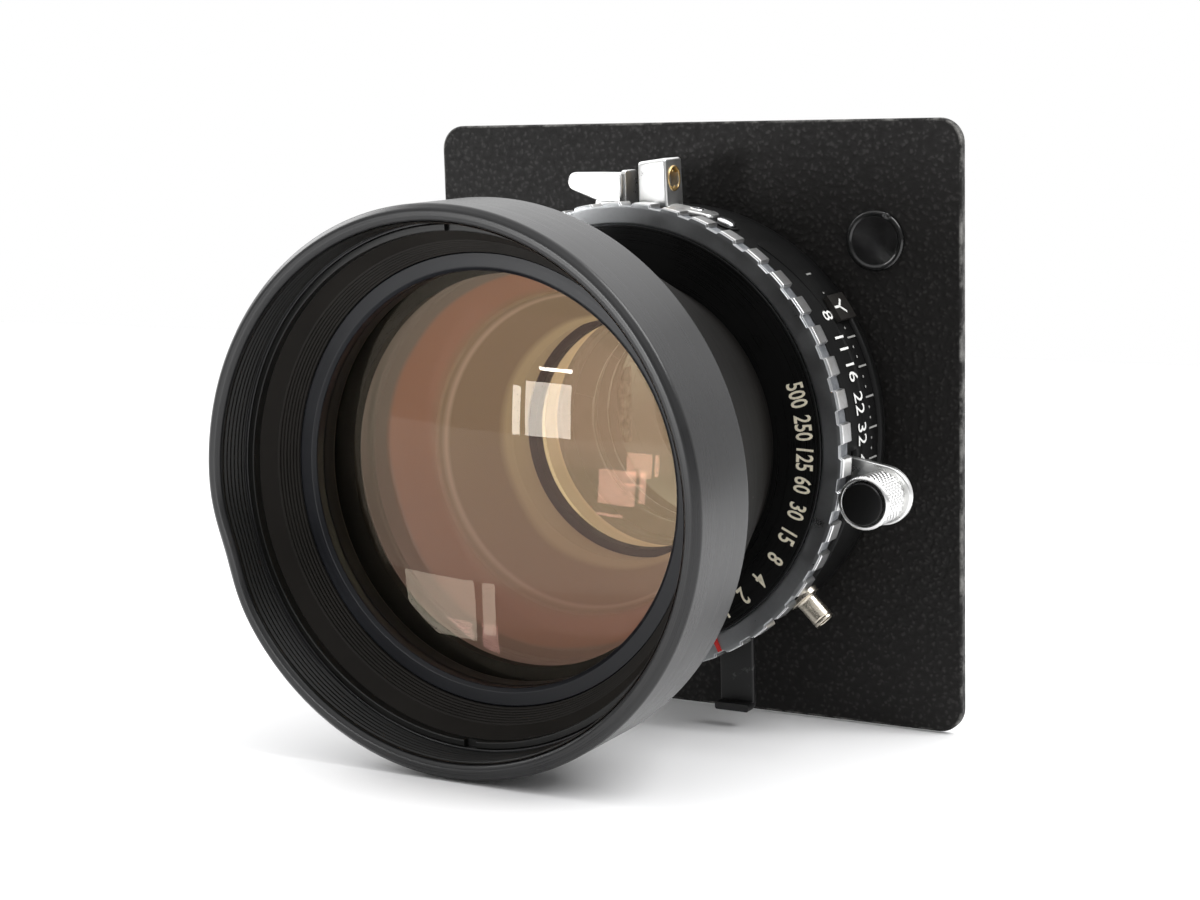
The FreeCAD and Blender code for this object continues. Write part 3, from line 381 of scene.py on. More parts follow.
def crinkle_group():
    """Wrinkle paint: wandering cells whose rounded tops stand above narrow valleys."""
    tree, given, out = group("crinkle", [("Vector", "NodeSocketVector", None),
                                         ("Scale", "NodeSocketFloat", 1100.0)],
                             [("Height", "NodeSocketFloat"), ("Crest", "NodeSocketFloat")])
    drift = node(tree, "ShaderNodeTexNoise", [("Vector", given.outputs["Vector"]), ("Scale", 700.0),
                                              ("Detail", 2.0)])
    push = node(tree, "ShaderNodeVectorMath", [(0, drift.outputs["Color"]), ("Scale", 0.0011)],
                operation="SCALE")
    moved = node(tree, "ShaderNodeVectorMath", [(0, given.outputs["Vector"]), (1, push.outputs[0])])
    cells = node(tree, "ShaderNodeTexVoronoi", [("Vector", moved.outputs[0]),
                                                ("Scale", given.outputs["Scale"]),
                                                ("Smoothness", 0.6)], feature="SMOOTH_F1")
    tops = span(tree, cells.outputs["Distance"], 0.15, 0.75, 1.0, 0.0)
    ragged = noise(tree, moved.outputs[0], 2400.0, 3.0, 0.65)
    height = maths(tree, "ADD", maths(tree, "MULTIPLY", tops, 0.6), maths(tree, "MULTIPLY", ragged, 0.5))
    tree.links.new(height, out.inputs["Height"])
    tree.links.new(span(tree, height, 0.6, 0.9), out.inputs["Crest"])
    return tree


def turning_group():
    """Marks of the lathe: noise that depends only on the distance from the axis and the place along it."""
    tree, given, out = group("turning_marks", [("Vector", "NodeSocketVector", None),
                                               ("Scale", "NodeSocketFloat", 4000.0)],
                             [("Height", "NodeSocketFloat")])
    parts = node(tree, "ShaderNodeSeparateXYZ", [("Vector", given.outputs["Vector"])])
    square = maths(tree, "ADD", maths(tree, "POWER", parts.outputs["X"], 2.0),
                   maths(tree, "POWER", parts.outputs["Z"], 2.0))
    away = maths(tree, "SQRT", square)
    folded = node(tree, "ShaderNodeCombineXYZ", [("X", away), ("Y", parts.outputs["Y"])])
    tree.links.new(noise(tree, folded.outputs[0], given.outputs["Scale"], 3.0, 0.6), out.inputs["Height"])
    return tree


def specks_group():
    """Scattered fine specks of dust: the centres of random cells, thinned out by a second random value."""
    tree, given, out = group("specks", [("Vector", "NodeSocketVector", None),
                                        ("Scale", "NodeSocketFloat", 500.0),
                                        ("Share", "NodeSocketFloat", 0.2),
                                        ("Size", "NodeSocketFloat", 0.08)],
                             [("Mask", "NodeSocketFloat")])
    cells = node(tree, "ShaderNodeTexVoronoi", [("Vector", given.outputs["Vector"]),
                                                ("Scale", given.outputs["Scale"])])
    chosen = node(tree, "ShaderNodeSeparateColor", [("Color", cells.outputs["Color"])])
    kept = maths(tree, "LESS_THAN", chosen.outputs["Red"], given.outputs["Share"])
    size = maths(tree, "MULTIPLY", given.outputs["Size"], chosen.outputs["Green"])
    small = maths(tree, "LESS_THAN", cells.outputs["Distance"], size)
    tree.links.new(maths(tree, "MULTIPLY", kept, small), out.inputs["Mask"])
    return tree


def wear_group():
    """Worn edges: where the surface bends outwards sharply and a patchy noise lets it through."""
    tree, given, out = group("edge_wear", [("Vector", "NodeSocketVector", None),
                                           ("Scale", "NodeSocketFloat", 300.0),
                                           ("Amount", "NodeSocketFloat", 0.5)],
                             [("Mask", "NodeSocketFloat")])
    bend = span(tree, node(tree, "ShaderNodeNewGeometry").outputs["Pointiness"], 0.515, 0.56)
    patches = noise(tree, given.outputs["Vector"], given.outputs["Scale"], 5.0, 0.7)
    let = span(tree, patches, maths(tree, "SUBTRACT", 0.75,
                                    maths(tree, "MULTIPLY", given.outputs["Amount"], 0.4)), 0.78)
    tree.links.new(maths(tree, "MULTIPLY", bend, let, clamp=True), out.inputs["Mask"])
    return tree


GROUPS = {}


def use_group(tree, kind, vector, **values):
    """Place a shared effect in a material, with its own values."""
    makers = {"grain": grain_group, "crinkle": crinkle_group, "turning": turning_group,
              "specks": specks_group,
              "wear": wear_group}
    if kind not in GROUPS:
        GROUPS[kind] = makers[kind]()
    return node(tree, "ShaderNodeGroup", [("Vector", vector), *values.items()], node_tree=GROUPS[kind])


def finish_of(name, colour, rough, metal=0.0, **sockets):
    """A material with its Principled shader and Object coordinates; further constants go on its own sockets."""
    made = bpy.data.materials.new(name)
    made.use_nodes = True
    made.diffuse_color = (*colour, 1.0)
    tree = made.node_tree
    shader = tree.nodes["Principled BSDF"]
    shader.inputs["Base Color"].default_value = (*colour, 1.0)
    shader.inputs["Roughness"].default_value = rough
    shader.inputs["Metallic"].default_value = metal
    for label, value in sockets.items():
        shader.inputs[label.replace("_", " ")].default_value = value
    place = node(tree, "ShaderNodeTexCoord").outputs["Object"]
    return made, tree, shader, place


def bump(tree, shader, height, strength, distance):
    made = node(tree, "ShaderNodeBump", [("Height", height), ("Strength", strength),
                                         ("Distance", distance)])
    tree.links.new(made.outputs["Normal"], shader.inputs["Normal"])


def mixed(tree, mask, first, second):
    """Blend two colours, each a colour or a socket, by a mask."""
    made = tree.nodes.new("ShaderNodeMix")
    made.data_type = "RGBA"
    tree.links.new(mask, made.inputs["Factor"])
    for index, colour in ((6, first), (7, second)):
        if isinstance(colour, bpy.types.NodeSocket):
            tree.links.new(colour, made.inputs[index])
        else:
            made.inputs[index].default_value = (*colour, 1.0)
    return made.outputs[2]


def crinkle_black(look):
    """Black wrinkle paint of the board, with painted highlight on the crests of the wrinkles, pale specks and rubbed
    edges.
    """
    made, tree, shader, place = finish_of("crinkle_black", look.board_black, 0.5, Specular_IOR_Level=0.2)
    paint = use_group(tree, "crinkle", place)
    specks = use_group(tree, "specks", place, Scale=420.0, Share=0.10, Size=0.10)
    worn = use_group(tree, "wear", place, Scale=230.0, Amount=0.75)
    crest_highlight = tuple(channel * 2.4 + 0.006 for channel in look.board_black)
    # Crests of the wrinkles get a lighter colour: painted highlight.
    colour = mixed(tree, paint.outputs["Crest"], look.board_black, crest_highlight)
    colour = mixed(tree, maths(tree, "MULTIPLY", specks.outputs["Mask"], 0.5), colour, (0.35, 0.34, 0.32))
    colour = mixed(tree, worn.outputs["Mask"], colour, (0.62, 0.61, 0.58))
    tree.links.new(colour, shader.inputs["Base Color"])
    tree.links.new(span(tree, paint.outputs["Height"], 0.2, 0.9, 0.62, 0.40), shader.inputs["Roughness"])
    bump(tree, shader, paint.outputs["Height"], 0.55, 0.00022)
    return made


def satin_black(name, colour, rough, marks=4000.0, wear=0.35, depth=0.05, shine=0.5):
    """Black anodised turned work: lathe marks in its gloss, a faint grain and lightly rubbed edges."""
    made, tree, shader, place = finish_of(name, colour, rough, Specular_IOR_Level=shine)
    lines = use_group(tree, "turning", place, Scale=marks)
    grain = use_group(tree, "grain", place, Scale=2600.0)
    worn = use_group(tree, "wear", place, Scale=420.0, Amount=wear)
    specks = use_group(tree, "specks", place, Scale=260.0, Share=0.05, Size=0.07)
    handled = noise(tree, place, 60.0, 4.0, 0.6)
    base = mixed(tree, span(tree, handled, 0.35, 0.75), colour,
                 tuple(channel * 1.35 + 0.002 for channel in colour))
    base = mixed(tree, maths(tree, "MULTIPLY", specks.outputs["Mask"], 0.35), base, (0.4, 0.39, 0.37))
    base = mixed(tree, maths(tree, "MULTIPLY", worn.outputs["Mask"], 0.8), base, (0.42, 0.42, 0.41))
    tree.links.new(base, shader.inputs["Base Color"])
    gloss = maths(tree, "ADD", span(tree, lines.outputs["Height"], 0.3, 0.7, rough - 0.05, rough + 0.05),
                  span(tree, handled, 0.3, 0.7, -0.04, 0.04))
    tree.links.new(gloss, shader.inputs["Roughness"])
    both = maths(tree, "ADD", lines.outputs["Height"], maths(tree, "MULTIPLY", grain.outputs["Height"],
                                                             0.6))
    bump(tree, shader, both, depth, 0.0001)
    return made


def bare_metal(name, colour, rough, marks=5000.0, depth=0.03, tarnish=0.12):
    """Plated or turned metal: lathe marks, uneven gloss and a little darkening in patches."""
    made, tree, shader, place = finish_of(name, colour, rough, 1.0)
    lines = use_group(tree, "turning", place, Scale=marks)
    grain = use_group(tree, "grain", place, Scale=3800.0)
    patches = noise(tree, place, 160.0, 5.0, 0.65)
    dull = tuple(channel * (1 - tarnish * 2.2) for channel in colour)
    tree.links.new(mixed(tree, span(tree, patches, 0.42, 0.78), colour, dull), shader.inputs["Base Color"])
    gloss = maths(tree, "ADD", span(tree, patches, 0.3, 0.8, rough * 0.75, rough * 1.5),
                  span(tree, grain.outputs["Height"], 0.35, 0.65, -0.02, 0.04))
    tree.links.new(gloss, shader.inputs["Roughness"])
    bump(tree, shader, maths(tree, "ADD", lines.outputs["Height"], grain.outputs["Height"]), depth, 0.0001)
    return made


def from_axis(tree, place):
    """Distance of a point from the optical axis, in metres."""
    parts = node(tree, "ShaderNodeSeparateXYZ", [("Vector", place)])
    square = maths(tree, "ADD", maths(tree, "POWER", parts.outputs["X"], 2.0),
                   maths(tree, "POWER", parts.outputs["Z"], 2.0))
    return maths(tree, "SQRT", square)


def ring_chrome(look):
    """Chrome of the speed ring: satin on the grip pads, rougher down in the notches, whose colour is darkened there as
    painted shade.
    """
    made, tree, shader, place = finish_of("ring_chrome", look.chrome, 0.32, 1.0)
    # Mask of the notch floors by distance from the axis; below, they get a dark colour: painted shade.
    low = span(tree, from_axis(tree, place), 0.0370, 0.0375, 1.0, 0.0)
    patches = noise(tree, place, 420.0, 5.0, 0.7)
    pad = mixed(tree, span(tree, patches, 0.45, 0.8), (0.92, 0.92, 0.92), (0.70, 0.68, 0.65))
    pit = mixed(tree, span(tree, patches, 0.4, 0.7), (0.20, 0.21, 0.225), (0.36, 0.37, 0.39))
    tree.links.new(mixed(tree, low, pad, pit), shader.inputs["Base Color"])
    tree.links.new(span(tree, low, 0.0, 1.0, 0.30, 0.48), shader.inputs["Roughness"])
    grain = use_group(tree, "grain", place, Scale=3800.0)
    bump(tree, shader, grain.outputs["Height"], 0.02, 0.0001)
    return made


def painted_reflection_lining():
    """Inside of the front cell painted with the reflections of its coated glasses: grey, rust, a pale seam, olive
    brown, then beige; the same colours glow as emission.
    """
    made, tree, shader, place = finish_of("painted_reflection_lining", (0.10, 0.08, 0.05), 0.5, Specular_IOR_Level=0.3)
    away = from_axis(tree, place)
    clouds = noise(tree, place, 26.0, 2.0)
    wavy = maths(tree, "ADD", away, span(tree, clouds, 0.3, 0.7, -0.0004, 0.0004))
    olive = mixed(tree, span(tree, wavy, 0.0182, 0.0188), (0.30, 0.235, 0.145), (0.165, 0.118, 0.072))
    rust = mixed(tree, span(tree, wavy, 0.0232, 0.0244), olive, (0.21, 0.105, 0.068))
    colour = mixed(tree, span(tree, wavy, 0.0272, 0.0277), rust, (0.115, 0.098, 0.085))
    seam = maths(tree, "MULTIPLY", span(tree, away, 0.0224, 0.0227),
                 span(tree, away, 0.0227, 0.0231, 1.0, 0.0))
    colour = mixed(tree, seam, colour, (0.30, 0.22, 0.17))
    # Darker and redder towards the bottom: part of the painted reflection colours.
    low = span(tree, node(tree, "ShaderNodeSeparateXYZ", [("Vector", place)]).outputs["Z"], -0.022, 0.004,
               1.0, 0.0)
    colour = mixed(tree, maths(tree, "MULTIPLY", low, 0.6), colour, (0.13, 0.070, 0.062))
    tree.links.new(colour, shader.inputs["Base Color"])
    # The lining glows with its painted reflection colours, though it is no lamp.
    tree.links.new(colour, shader.inputs["Emission Color"])
    shader.inputs["Emission Strength"].default_value = 0.62
    rings = use_group(tree, "turning", place, Scale=900.0)
    bump(tree, shader, rings.outputs["Height"], 0.02, 0.0001)
    return made


def paint(name, colour, rough=0.5):
    """Filled engraving paint, slightly uneven."""
    made, tree, shader, place = finish_of(name, colour, rough)
    patches = noise(tree, place, 2500.0, 3.0)
    dull = tuple(channel * 0.72 for channel in colour)
    tree.links.new(mixed(tree, span(tree, patches, 0.4, 0.8), colour, dull), shader.inputs["Base Color"])
    bump(tree, shader, patches, 0.1, 0.00005)
    return made


def gloss_black():
    """Moulded black plastic of the plug: deep gloss with a faint orange-peel."""
    made, tree, shader, place = finish_of("gloss_black", (0.008, 0.008, 0.008), 0.16)
    peel = noise(tree, place, 900.0, 2.0)
    specks = use_group(tree, "specks", place, Scale=600.0, Share=0.12, Size=0.07)
    colour = mixed(tree, maths(tree, "MULTIPLY", specks.outputs["Mask"], 0.5), (0.008, 0.008, 0.008),
                   (0.3, 0.3, 0.29))
    tree.links.new(colour, shader.inputs["Base Color"])
    tree.links.new(span(tree, noise(tree, place, 300.0, 4.0), 0.3, 0.7, 0.10, 0.24),
                   shader.inputs["Roughness"])
    bump(tree, shader, peel, 0.12, 0.0001)
    return made


def coated_glass(name, colour, bend, tint, reflection_glow=(0.0, 0.0, 0.0)):
    """Optical glass with an anti-reflection coat: a cast that varies slightly, tinted reflections, and an optional glow
    that paints a coloured reflection of the coat.
    """
    made, tree, shader, place = finish_of(name, colour, 0.0, Transmission_Weight=1.0, IOR=bend,
                                          Specular_Tint=(*tint, 1.0))
    cast = mixed(tree, span(tree, noise(tree, place, 20.0, 2.0), 0.35, 0.7), colour,
                 tuple(channel * 0.97 for channel in colour))
    tree.links.new(cast, shader.inputs["Base Color"])
    # Emission: painted reflection glow, black unless a colour is given.
    shader.inputs["Emission Color"].default_value = (*reflection_glow, 1.0)
    shader.inputs["Emission Strength"].default_value = 0.28
    return made


FINISHES = {}


def finish(name):
    """Look a finish up by its name."""
    return FINISHES[name]


def make_finishes(look):
    """All the materials of the lens unit, made once."""
    FINISHES.update({
        "crinkle": crinkle_black(look),
        "barrel": satin_black("barrel_black", look.barrel_black, 0.30, wear=0.1, depth=0.03, shine=0.36),
        # Neck: a darker copy of the barrel black for the barrel behind the band, painted shade.
        "neck": satin_black("neck_painted_shade_black", (0.004, 0.0035, 0.003), 0.6, wear=0.0, shine=0.12),
        "case": satin_black("case_black", (0.004, 0.004, 0.004), 0.45, wear=0.0, shine=0.15),
        "dial": satin_black("dial_black", (0.003, 0.003, 0.003), 0.30, marks=6000.0, wear=0.0, shine=0.25),
        "thread": satin_black("thread_black", (0.005, 0.005, 0.0045), 0.40, wear=0.0, shine=0.3),
        "baffle": satin_black("baffle_brown_black", (0.011, 0.0095, 0.008), 0.62, marks=2600.0, wear=0.0,
                              shine=0.15),
        "clamp": satin_black("clamp_blue_black", (0.0035, 0.004, 0.006), 0.34, marks=5200.0, wear=0.0,
                             shine=0.25),
        "inside": satin_black("inside_black", (0.006, 0.005, 0.004), 0.55, marks=1500.0, wear=0.0,
                              shine=0.3, depth=0.01),
        # Lining: painted reflections of the coated glasses, with a glow.
        "lining": painted_reflection_lining(),
        "lever_black": satin_black("lever_black", (0.006, 0.006, 0.006), 0.40, wear=0.3, shine=0.4),
        "chrome": bare_metal("bright_chrome", look.chrome, 0.16, depth=0.01, tarnish=0.05),
        "ring": ring_chrome(look),
        "satin": bare_metal("satin_chrome", (0.80, 0.80, 0.79), 0.30, depth=0.02, tarnish=0.05),
        "face": bare_metal("face_grey", (0.46, 0.47, 0.48), 0.34, marks=7000.0, depth=0.05),
        "brass": bare_metal("brass", (0.62, 0.44, 0.20), 0.28, depth=0.05),
        "nickel": bare_metal("pale_nickel", (0.70, 0.64, 0.54), 0.22),
        "steel": bare_metal("leaf_steel", (0.20, 0.20, 0.21), 0.40),
        "insulator": paint("insulator_brown", (0.030, 0.018, 0.012), 0.45),
        "cream": paint("cream_paint", look.figure_cream),
        "white": paint("white_paint", (0.75, 0.75, 0.73)),
        "grey": paint("grey_paint", (0.26, 0.26, 0.25)),
        "red": paint("red_paint", (0.55, 0.015, 0.012)),
        "plug": gloss_black(),
        "front_glass": coated_glass("front_glass", look.glass_tint, look.glass_bend, (1.0, 0.92, 0.80)),
        "second_glass": coated_glass("second_glass", (0.99, 0.96, 0.90), 1.26, (1.0, 0.55, 0.60)),
        # Inner glass glows olive: painted reflection of its coat.
        "inner_glass": coated_glass("inner_glass", (0.98, 0.97, 0.90), 1.4, (1.0, 0.60, 0.66),
                                    reflection_glow=(0.30, 0.235, 0.145)),
        "rear_glass": coated_glass("rear_glass", (0.96, 0.95, 0.90), 1.5, (0.80, 0.66, 1.0)),
    })


# ---------------------------------------------------------------- sizes and colours a user may change


class LensLook(bpy.types.PropertyGroup):
    board_black: bpy.props.FloatVectorProperty(
        name="Board black", description="Colour of the board's wrinkle paint", subtype="COLOR",
        default=(0.008, 0.0074, 0.007), min=0, max=1)
    barrel_black: bpy.props.FloatVectorProperty(
        name="Barrel black", description="Colour of the front barrel", subtype="COLOR",
        default=(0.012, 0.012, 0.0125), min=0, max=1)
    chrome: bpy.props.FloatVectorProperty(
        name="Chrome", description="Colour of the bright plating", subtype="COLOR",
        default=(0.80, 0.80, 0.81), min=0, max=1)
    figure_cream: bpy.props.FloatVectorProperty(
        name="Figure cream", description="Paint of the speed figures", subtype="COLOR",
        default=(0.80, 0.74, 0.58), min=0, max=1)
    glass_tint: bpy.props.FloatVectorProperty(
        name="Glass tint", description="Cast of the front glass", subtype="COLOR",
        default=(0.99, 0.95, 0.86), min=0, max=1)
    glass_bend: bpy.props.FloatProperty(
        name="Glass index", description="Refractive index of the front glass, lowered as its coat lowers its gloss",
        default=1.28, min=1.0, max=2.2)


class LensSizes(bpy.types.PropertyGroup):
    edge_round: bpy.props.FloatProperty(
        name="Edge round", description="Rounding of the barrel's turned edges", unit="LENGTH",
                                        subtype="DISTANCE",
        default=0.35 * MM, min=0.05 * MM, max=1.0 * MM, precision=5)
    board_bevel: bpy.props.FloatProperty(
        name="Board bevel", description="Rounding of the board's edge", unit="LENGTH", subtype="DISTANCE",
        default=0.45 * MM, min=0.1 * MM, max=0.9 * MM, precision=5)
    thread_pitch: bpy.props.FloatProperty(
        name="Thread pitch", description="Pitch of the filter thread", unit="LENGTH", subtype="DISTANCE",
        default=0.85 * MM, min=0.5 * MM, max=1.5 * MM, precision=5)
    thread_depth: bpy.props.FloatProperty(
        name="Thread depth", description="Depth of the filter thread", unit="LENGTH", subtype="DISTANCE",
        default=0.30 * MM, min=0.1 * MM, max=0.6 * MM, precision=5)
    figure_height: bpy.props.FloatProperty(
        name="Figure height", description="Height of the speed figures", unit="LENGTH", subtype="DISTANCE",
        default=2.9 * MM, min=1.0 * MM, max=4.0 * MM, precision=5)
    stop_height: bpy.props.FloatProperty(
        name="Stop height", description="Height of the aperture figures", unit="LENGTH", subtype="DISTANCE",
        default=3.1 * MM, min=1.0 * MM, max=4.0 * MM, precision=5)
    dent_depth: bpy.props.FloatProperty(
        name="Dent depth", description="Depth of the dent in the front rim", unit="LENGTH",
                                        subtype="DISTANCE",
        default=0.9 * MM, min=0.0, max=2.0 * MM, precision=5)


class StageLook(bpy.types.PropertyGroup):
    focal_length: bpy.props.FloatProperty(
        name="Focal length", description="Focal length of the camera", unit="CAMERA", default=67.27, min=10,
                                          max=300)
    azimuth: bpy.props.FloatProperty(
        name="Azimuth", description="Bearing of the camera right of straight ahead", subtype="ANGLE",
        default=math.radians(29.491))
    elevation: bpy.props.FloatProperty(
        name="Elevation", description="Height of the camera over the horizon", subtype="ANGLE",
        default=math.radians(9.284))
    roll: bpy.props.FloatProperty(
        name="Roll", description="Lean of the camera", subtype="ANGLE", default=math.radians(-1.5906))
    camera_place: bpy.props.FloatVectorProperty(
        name="Camera place", description="Where the camera stands", subtype="TRANSLATION", unit="LENGTH",
        default=(0.17078, -0.33561, 0.05622))
    floor_tilt: bpy.props.FloatProperty(
        name="Floor tilt", description="How far the unit is tipped on to its front rim", subtype="ANGLE",
        default=math.atan(0.1123))


# ---------------------------------------------------------------- operators


class LensStep:
    """What the steps share: reading the sizes and colours of the scene."""

    bl_options = {"REGISTER", "UNDO"}

    def sizes(self):
        return bpy.context.scene.lens_sizes

    def look(self):
        return bpy.context.scene.lens_look


class LENS_OT_finishes(LensStep, bpy.types.Operator):
    """Make the materials and give every node of the frame one of them"""

    bl_idname = "lens.finishes"
    bl_label = "Finishes"

    def execute(self, context):
        make_finishes(self.look())
        by_slot = {
            "board_crinkle": "crinkle", "plug_black": "plug", "black_anodised": "inside",
                   "dial_black": "dial",
            "chrome": "chrome", "face_grey": "face", "steel": "satin", "brass": "brass", "nickel": "nickel",
            "insulator": "insulator", "baffle_black": "baffle", "clamp_satin": "clamp",
                   "glass": "inner_glass",
            "leaf_steel": "steel",
        }
        slots = {part["node"]: part["material_slot"] for part in frame["record"]["subparts"]}
        for name, thing in frame["nodes"].items():
            thing.data.materials.clear()
            thing.data.materials.append(finish(by_slot[slots[name]]))
        return {"FINISHED"}


class LENS_OT_board(LensStep, bpy.types.Operator):
    """Lens board with its rounded edge, and the blanking plug in its spare hole"""

    bl_idname = "lens.board"
    bl_label = "Board and plug"

    def execute(self, context):
        low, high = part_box("lens_board")
        wide, tall = (high.x - low.x) / MM, (high.z - low.z) / MM
        bevel = self.sizes().board_bevel / MM
        board = slab("board", rounded_rectangle(wide, tall, 4.0, 14), BOARD_FRONT - BOARD_BACK, bevel,
                     straight(), finish("crinkle"), "base", hole=(0.0, 0.0, 20.8), fill=8,
                     slot="board_crinkle")
        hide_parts("lens_board")
        self.plug()
        return {"FINISHED"}

    def plug(self):
        low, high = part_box("board_plug")
        middle = (low + high) / 2 / MM
        size = (high.x - low.x) / 2 / MM
        top = -low.y / MM
        profile = [(0, top - 0.22), *soften([(0, top - 0.22), (size - 0.95, top - 0.22), (size - 0.7, top),
                                             (size - 0.25, top),
                                             (size, top - 0.3), (size, BOARD_FRONT), (3.6, BOARD_FRONT),
                                             (3.6, -2.4), (0, -2.4)], 0.14, closed=False), (0, -2.4)]

        def nick(t, radius, height):
            near = np.exp(-((np.angle(np.exp(1j * (t - math.radians(62))))) / 0.10) ** 4)
            outer = np.clip((radius - size + 0.9) / 0.3, 0, 1) * (height > BOARD_FRONT + 0.3)
            return radius, height - 0.5 * near * outer

        plug = revolved("plug", profile, straight(middle.x, middle.z), finish("plug"), "base", closed=False,
                        ripple=nick, slot="plug_black")
        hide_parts("board_plug")
        nut_back, nut_front = ahead_of("plug_nut")
        nut = revolved("plug_nut_turned", soften([(3.65, nut_back), (size, nut_back), (size, nut_front),
                                                  (3.65, nut_front)], 0.2),
                       straight(middle.x, middle.z), finish("plug"), "base", ripple=self.flutes(size),
                       slot="plug_black")
        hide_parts("plug_nut")

    def flutes(self, size):
        """Grip flutes round the nut: its outside is drawn in by a narrow cosine lobe."""

        def ripple(t, radius, height):
            lobe = np.clip(np.cos(24 * t) - 0.2, 0, 1) * 0.25
            return radius - lobe * (radius > size - 0.5), height

        return ripple


class LENS_OT_shutter_case(LensStep, bpy.types.Operator):
    """Shutter case with its slots, mounting tube and nut"""

    bl_idname = "lens.shutter_case"
    bl_label = "Shutter case"

    def execute(self, context):
        foot = BOARD_FRONT + 3.4
        wall = self.wall(foot)
        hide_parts("shutter_case")
        inside = CASE_RADIUS - 1.6
        revolved("case_base", soften([
            (17.9, -5.0), (19.5, -5.0), (19.5, 0.2), (20.7, 0.2), (20.7, BOARD_FRONT),
                                      (CASE_RADIUS - 3.4, BOARD_FRONT),
            (CASE_RADIUS, foot), (CASE_RADIUS, foot + 0.4), (inside, foot + 0.4),
                                      (inside, BOARD_FRONT + 2.2),
            (17.9, BOARD_FRONT + 2.2)], 0.3), straight(), finish("case"), "base", slot="black_anodised")
        nut_back, nut_front = ahead_of("jam_nut")
        size = radius_of("jam_nut")

        def notch(t, radius, height):
            near = np.abs(np.sin(t)) * radius < 1.2
            return radius, np.where(near & (radius > size - 2.2), np.maximum(height, nut_back + 1.8),
                                    height)

        nut = revolved("mounting_nut", soften([(19.55, nut_back), (size - 2.3, nut_back),
                                               (size - 2.1, nut_back), (size - 0.6, nut_back),
                                               (size, nut_back + 0.6), (size, nut_front),
                                               (19.55, nut_front)], 0.12),
                       straight(), finish("case"), "base", steps=288, ripple=notch, slot="black_anodised")
        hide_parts("jam_nut")
        return {"FINISHED"}

    def wall(self, foot):
        """Case wall: a grid of angle and height with the cells inside the slots left out, then given its thickness."""
        slots = [(-53.4, -1.4, 17.2, 19.3), (-9.1, 37.9, 7.3, 8.9), (90.5, 116.5, 19.0, 20.6),
                 (-79.0, -56.0, 14.2, 16.0)]
        angles = np.unique(np.concatenate([np.arange(-180, 180, 2.0), [s[0] for s in slots],
                                           [s[1] for s in slots]]))
        heights = np.unique(np.concatenate([[foot + 0.3, CASE_RIM], [s[2] for s in slots],
                                            [s[3] for s in slots]]))
        t, ahead = np.meshgrid(np.radians(angles), heights, indexing="ij")
        points = to_row(CASE_RADIUS * np.cos(t), CASE_RADIUS * np.sin(t), ahead)
        faces = grid_faces(*t.shape, True, False)
        rows, columns = len(angles) , len(heights) - 1
        mid_angle = np.repeat(angles + np.diff(np.append(angles, angles[0] + 360)) / 2, columns)
        mid_height = np.tile((heights[:-1] + heights[1:]) / 2, rows)
        open_cell = np.zeros(len(faces), bool)
        for start, end, low, high in slots:
            open_cell |= (mid_angle > start) & (mid_angle < end) & (mid_height > low) & (mid_height < high)
        wall = piece("case_wall", points, faces[~open_cell], finish("case"), "base", slot="black_anodised")
        thicken = wall.modifiers.new("Thickness", "SOLIDIFY")
        thicken.thickness = 1.6 * MM
        thicken.offset = -1
        return wall


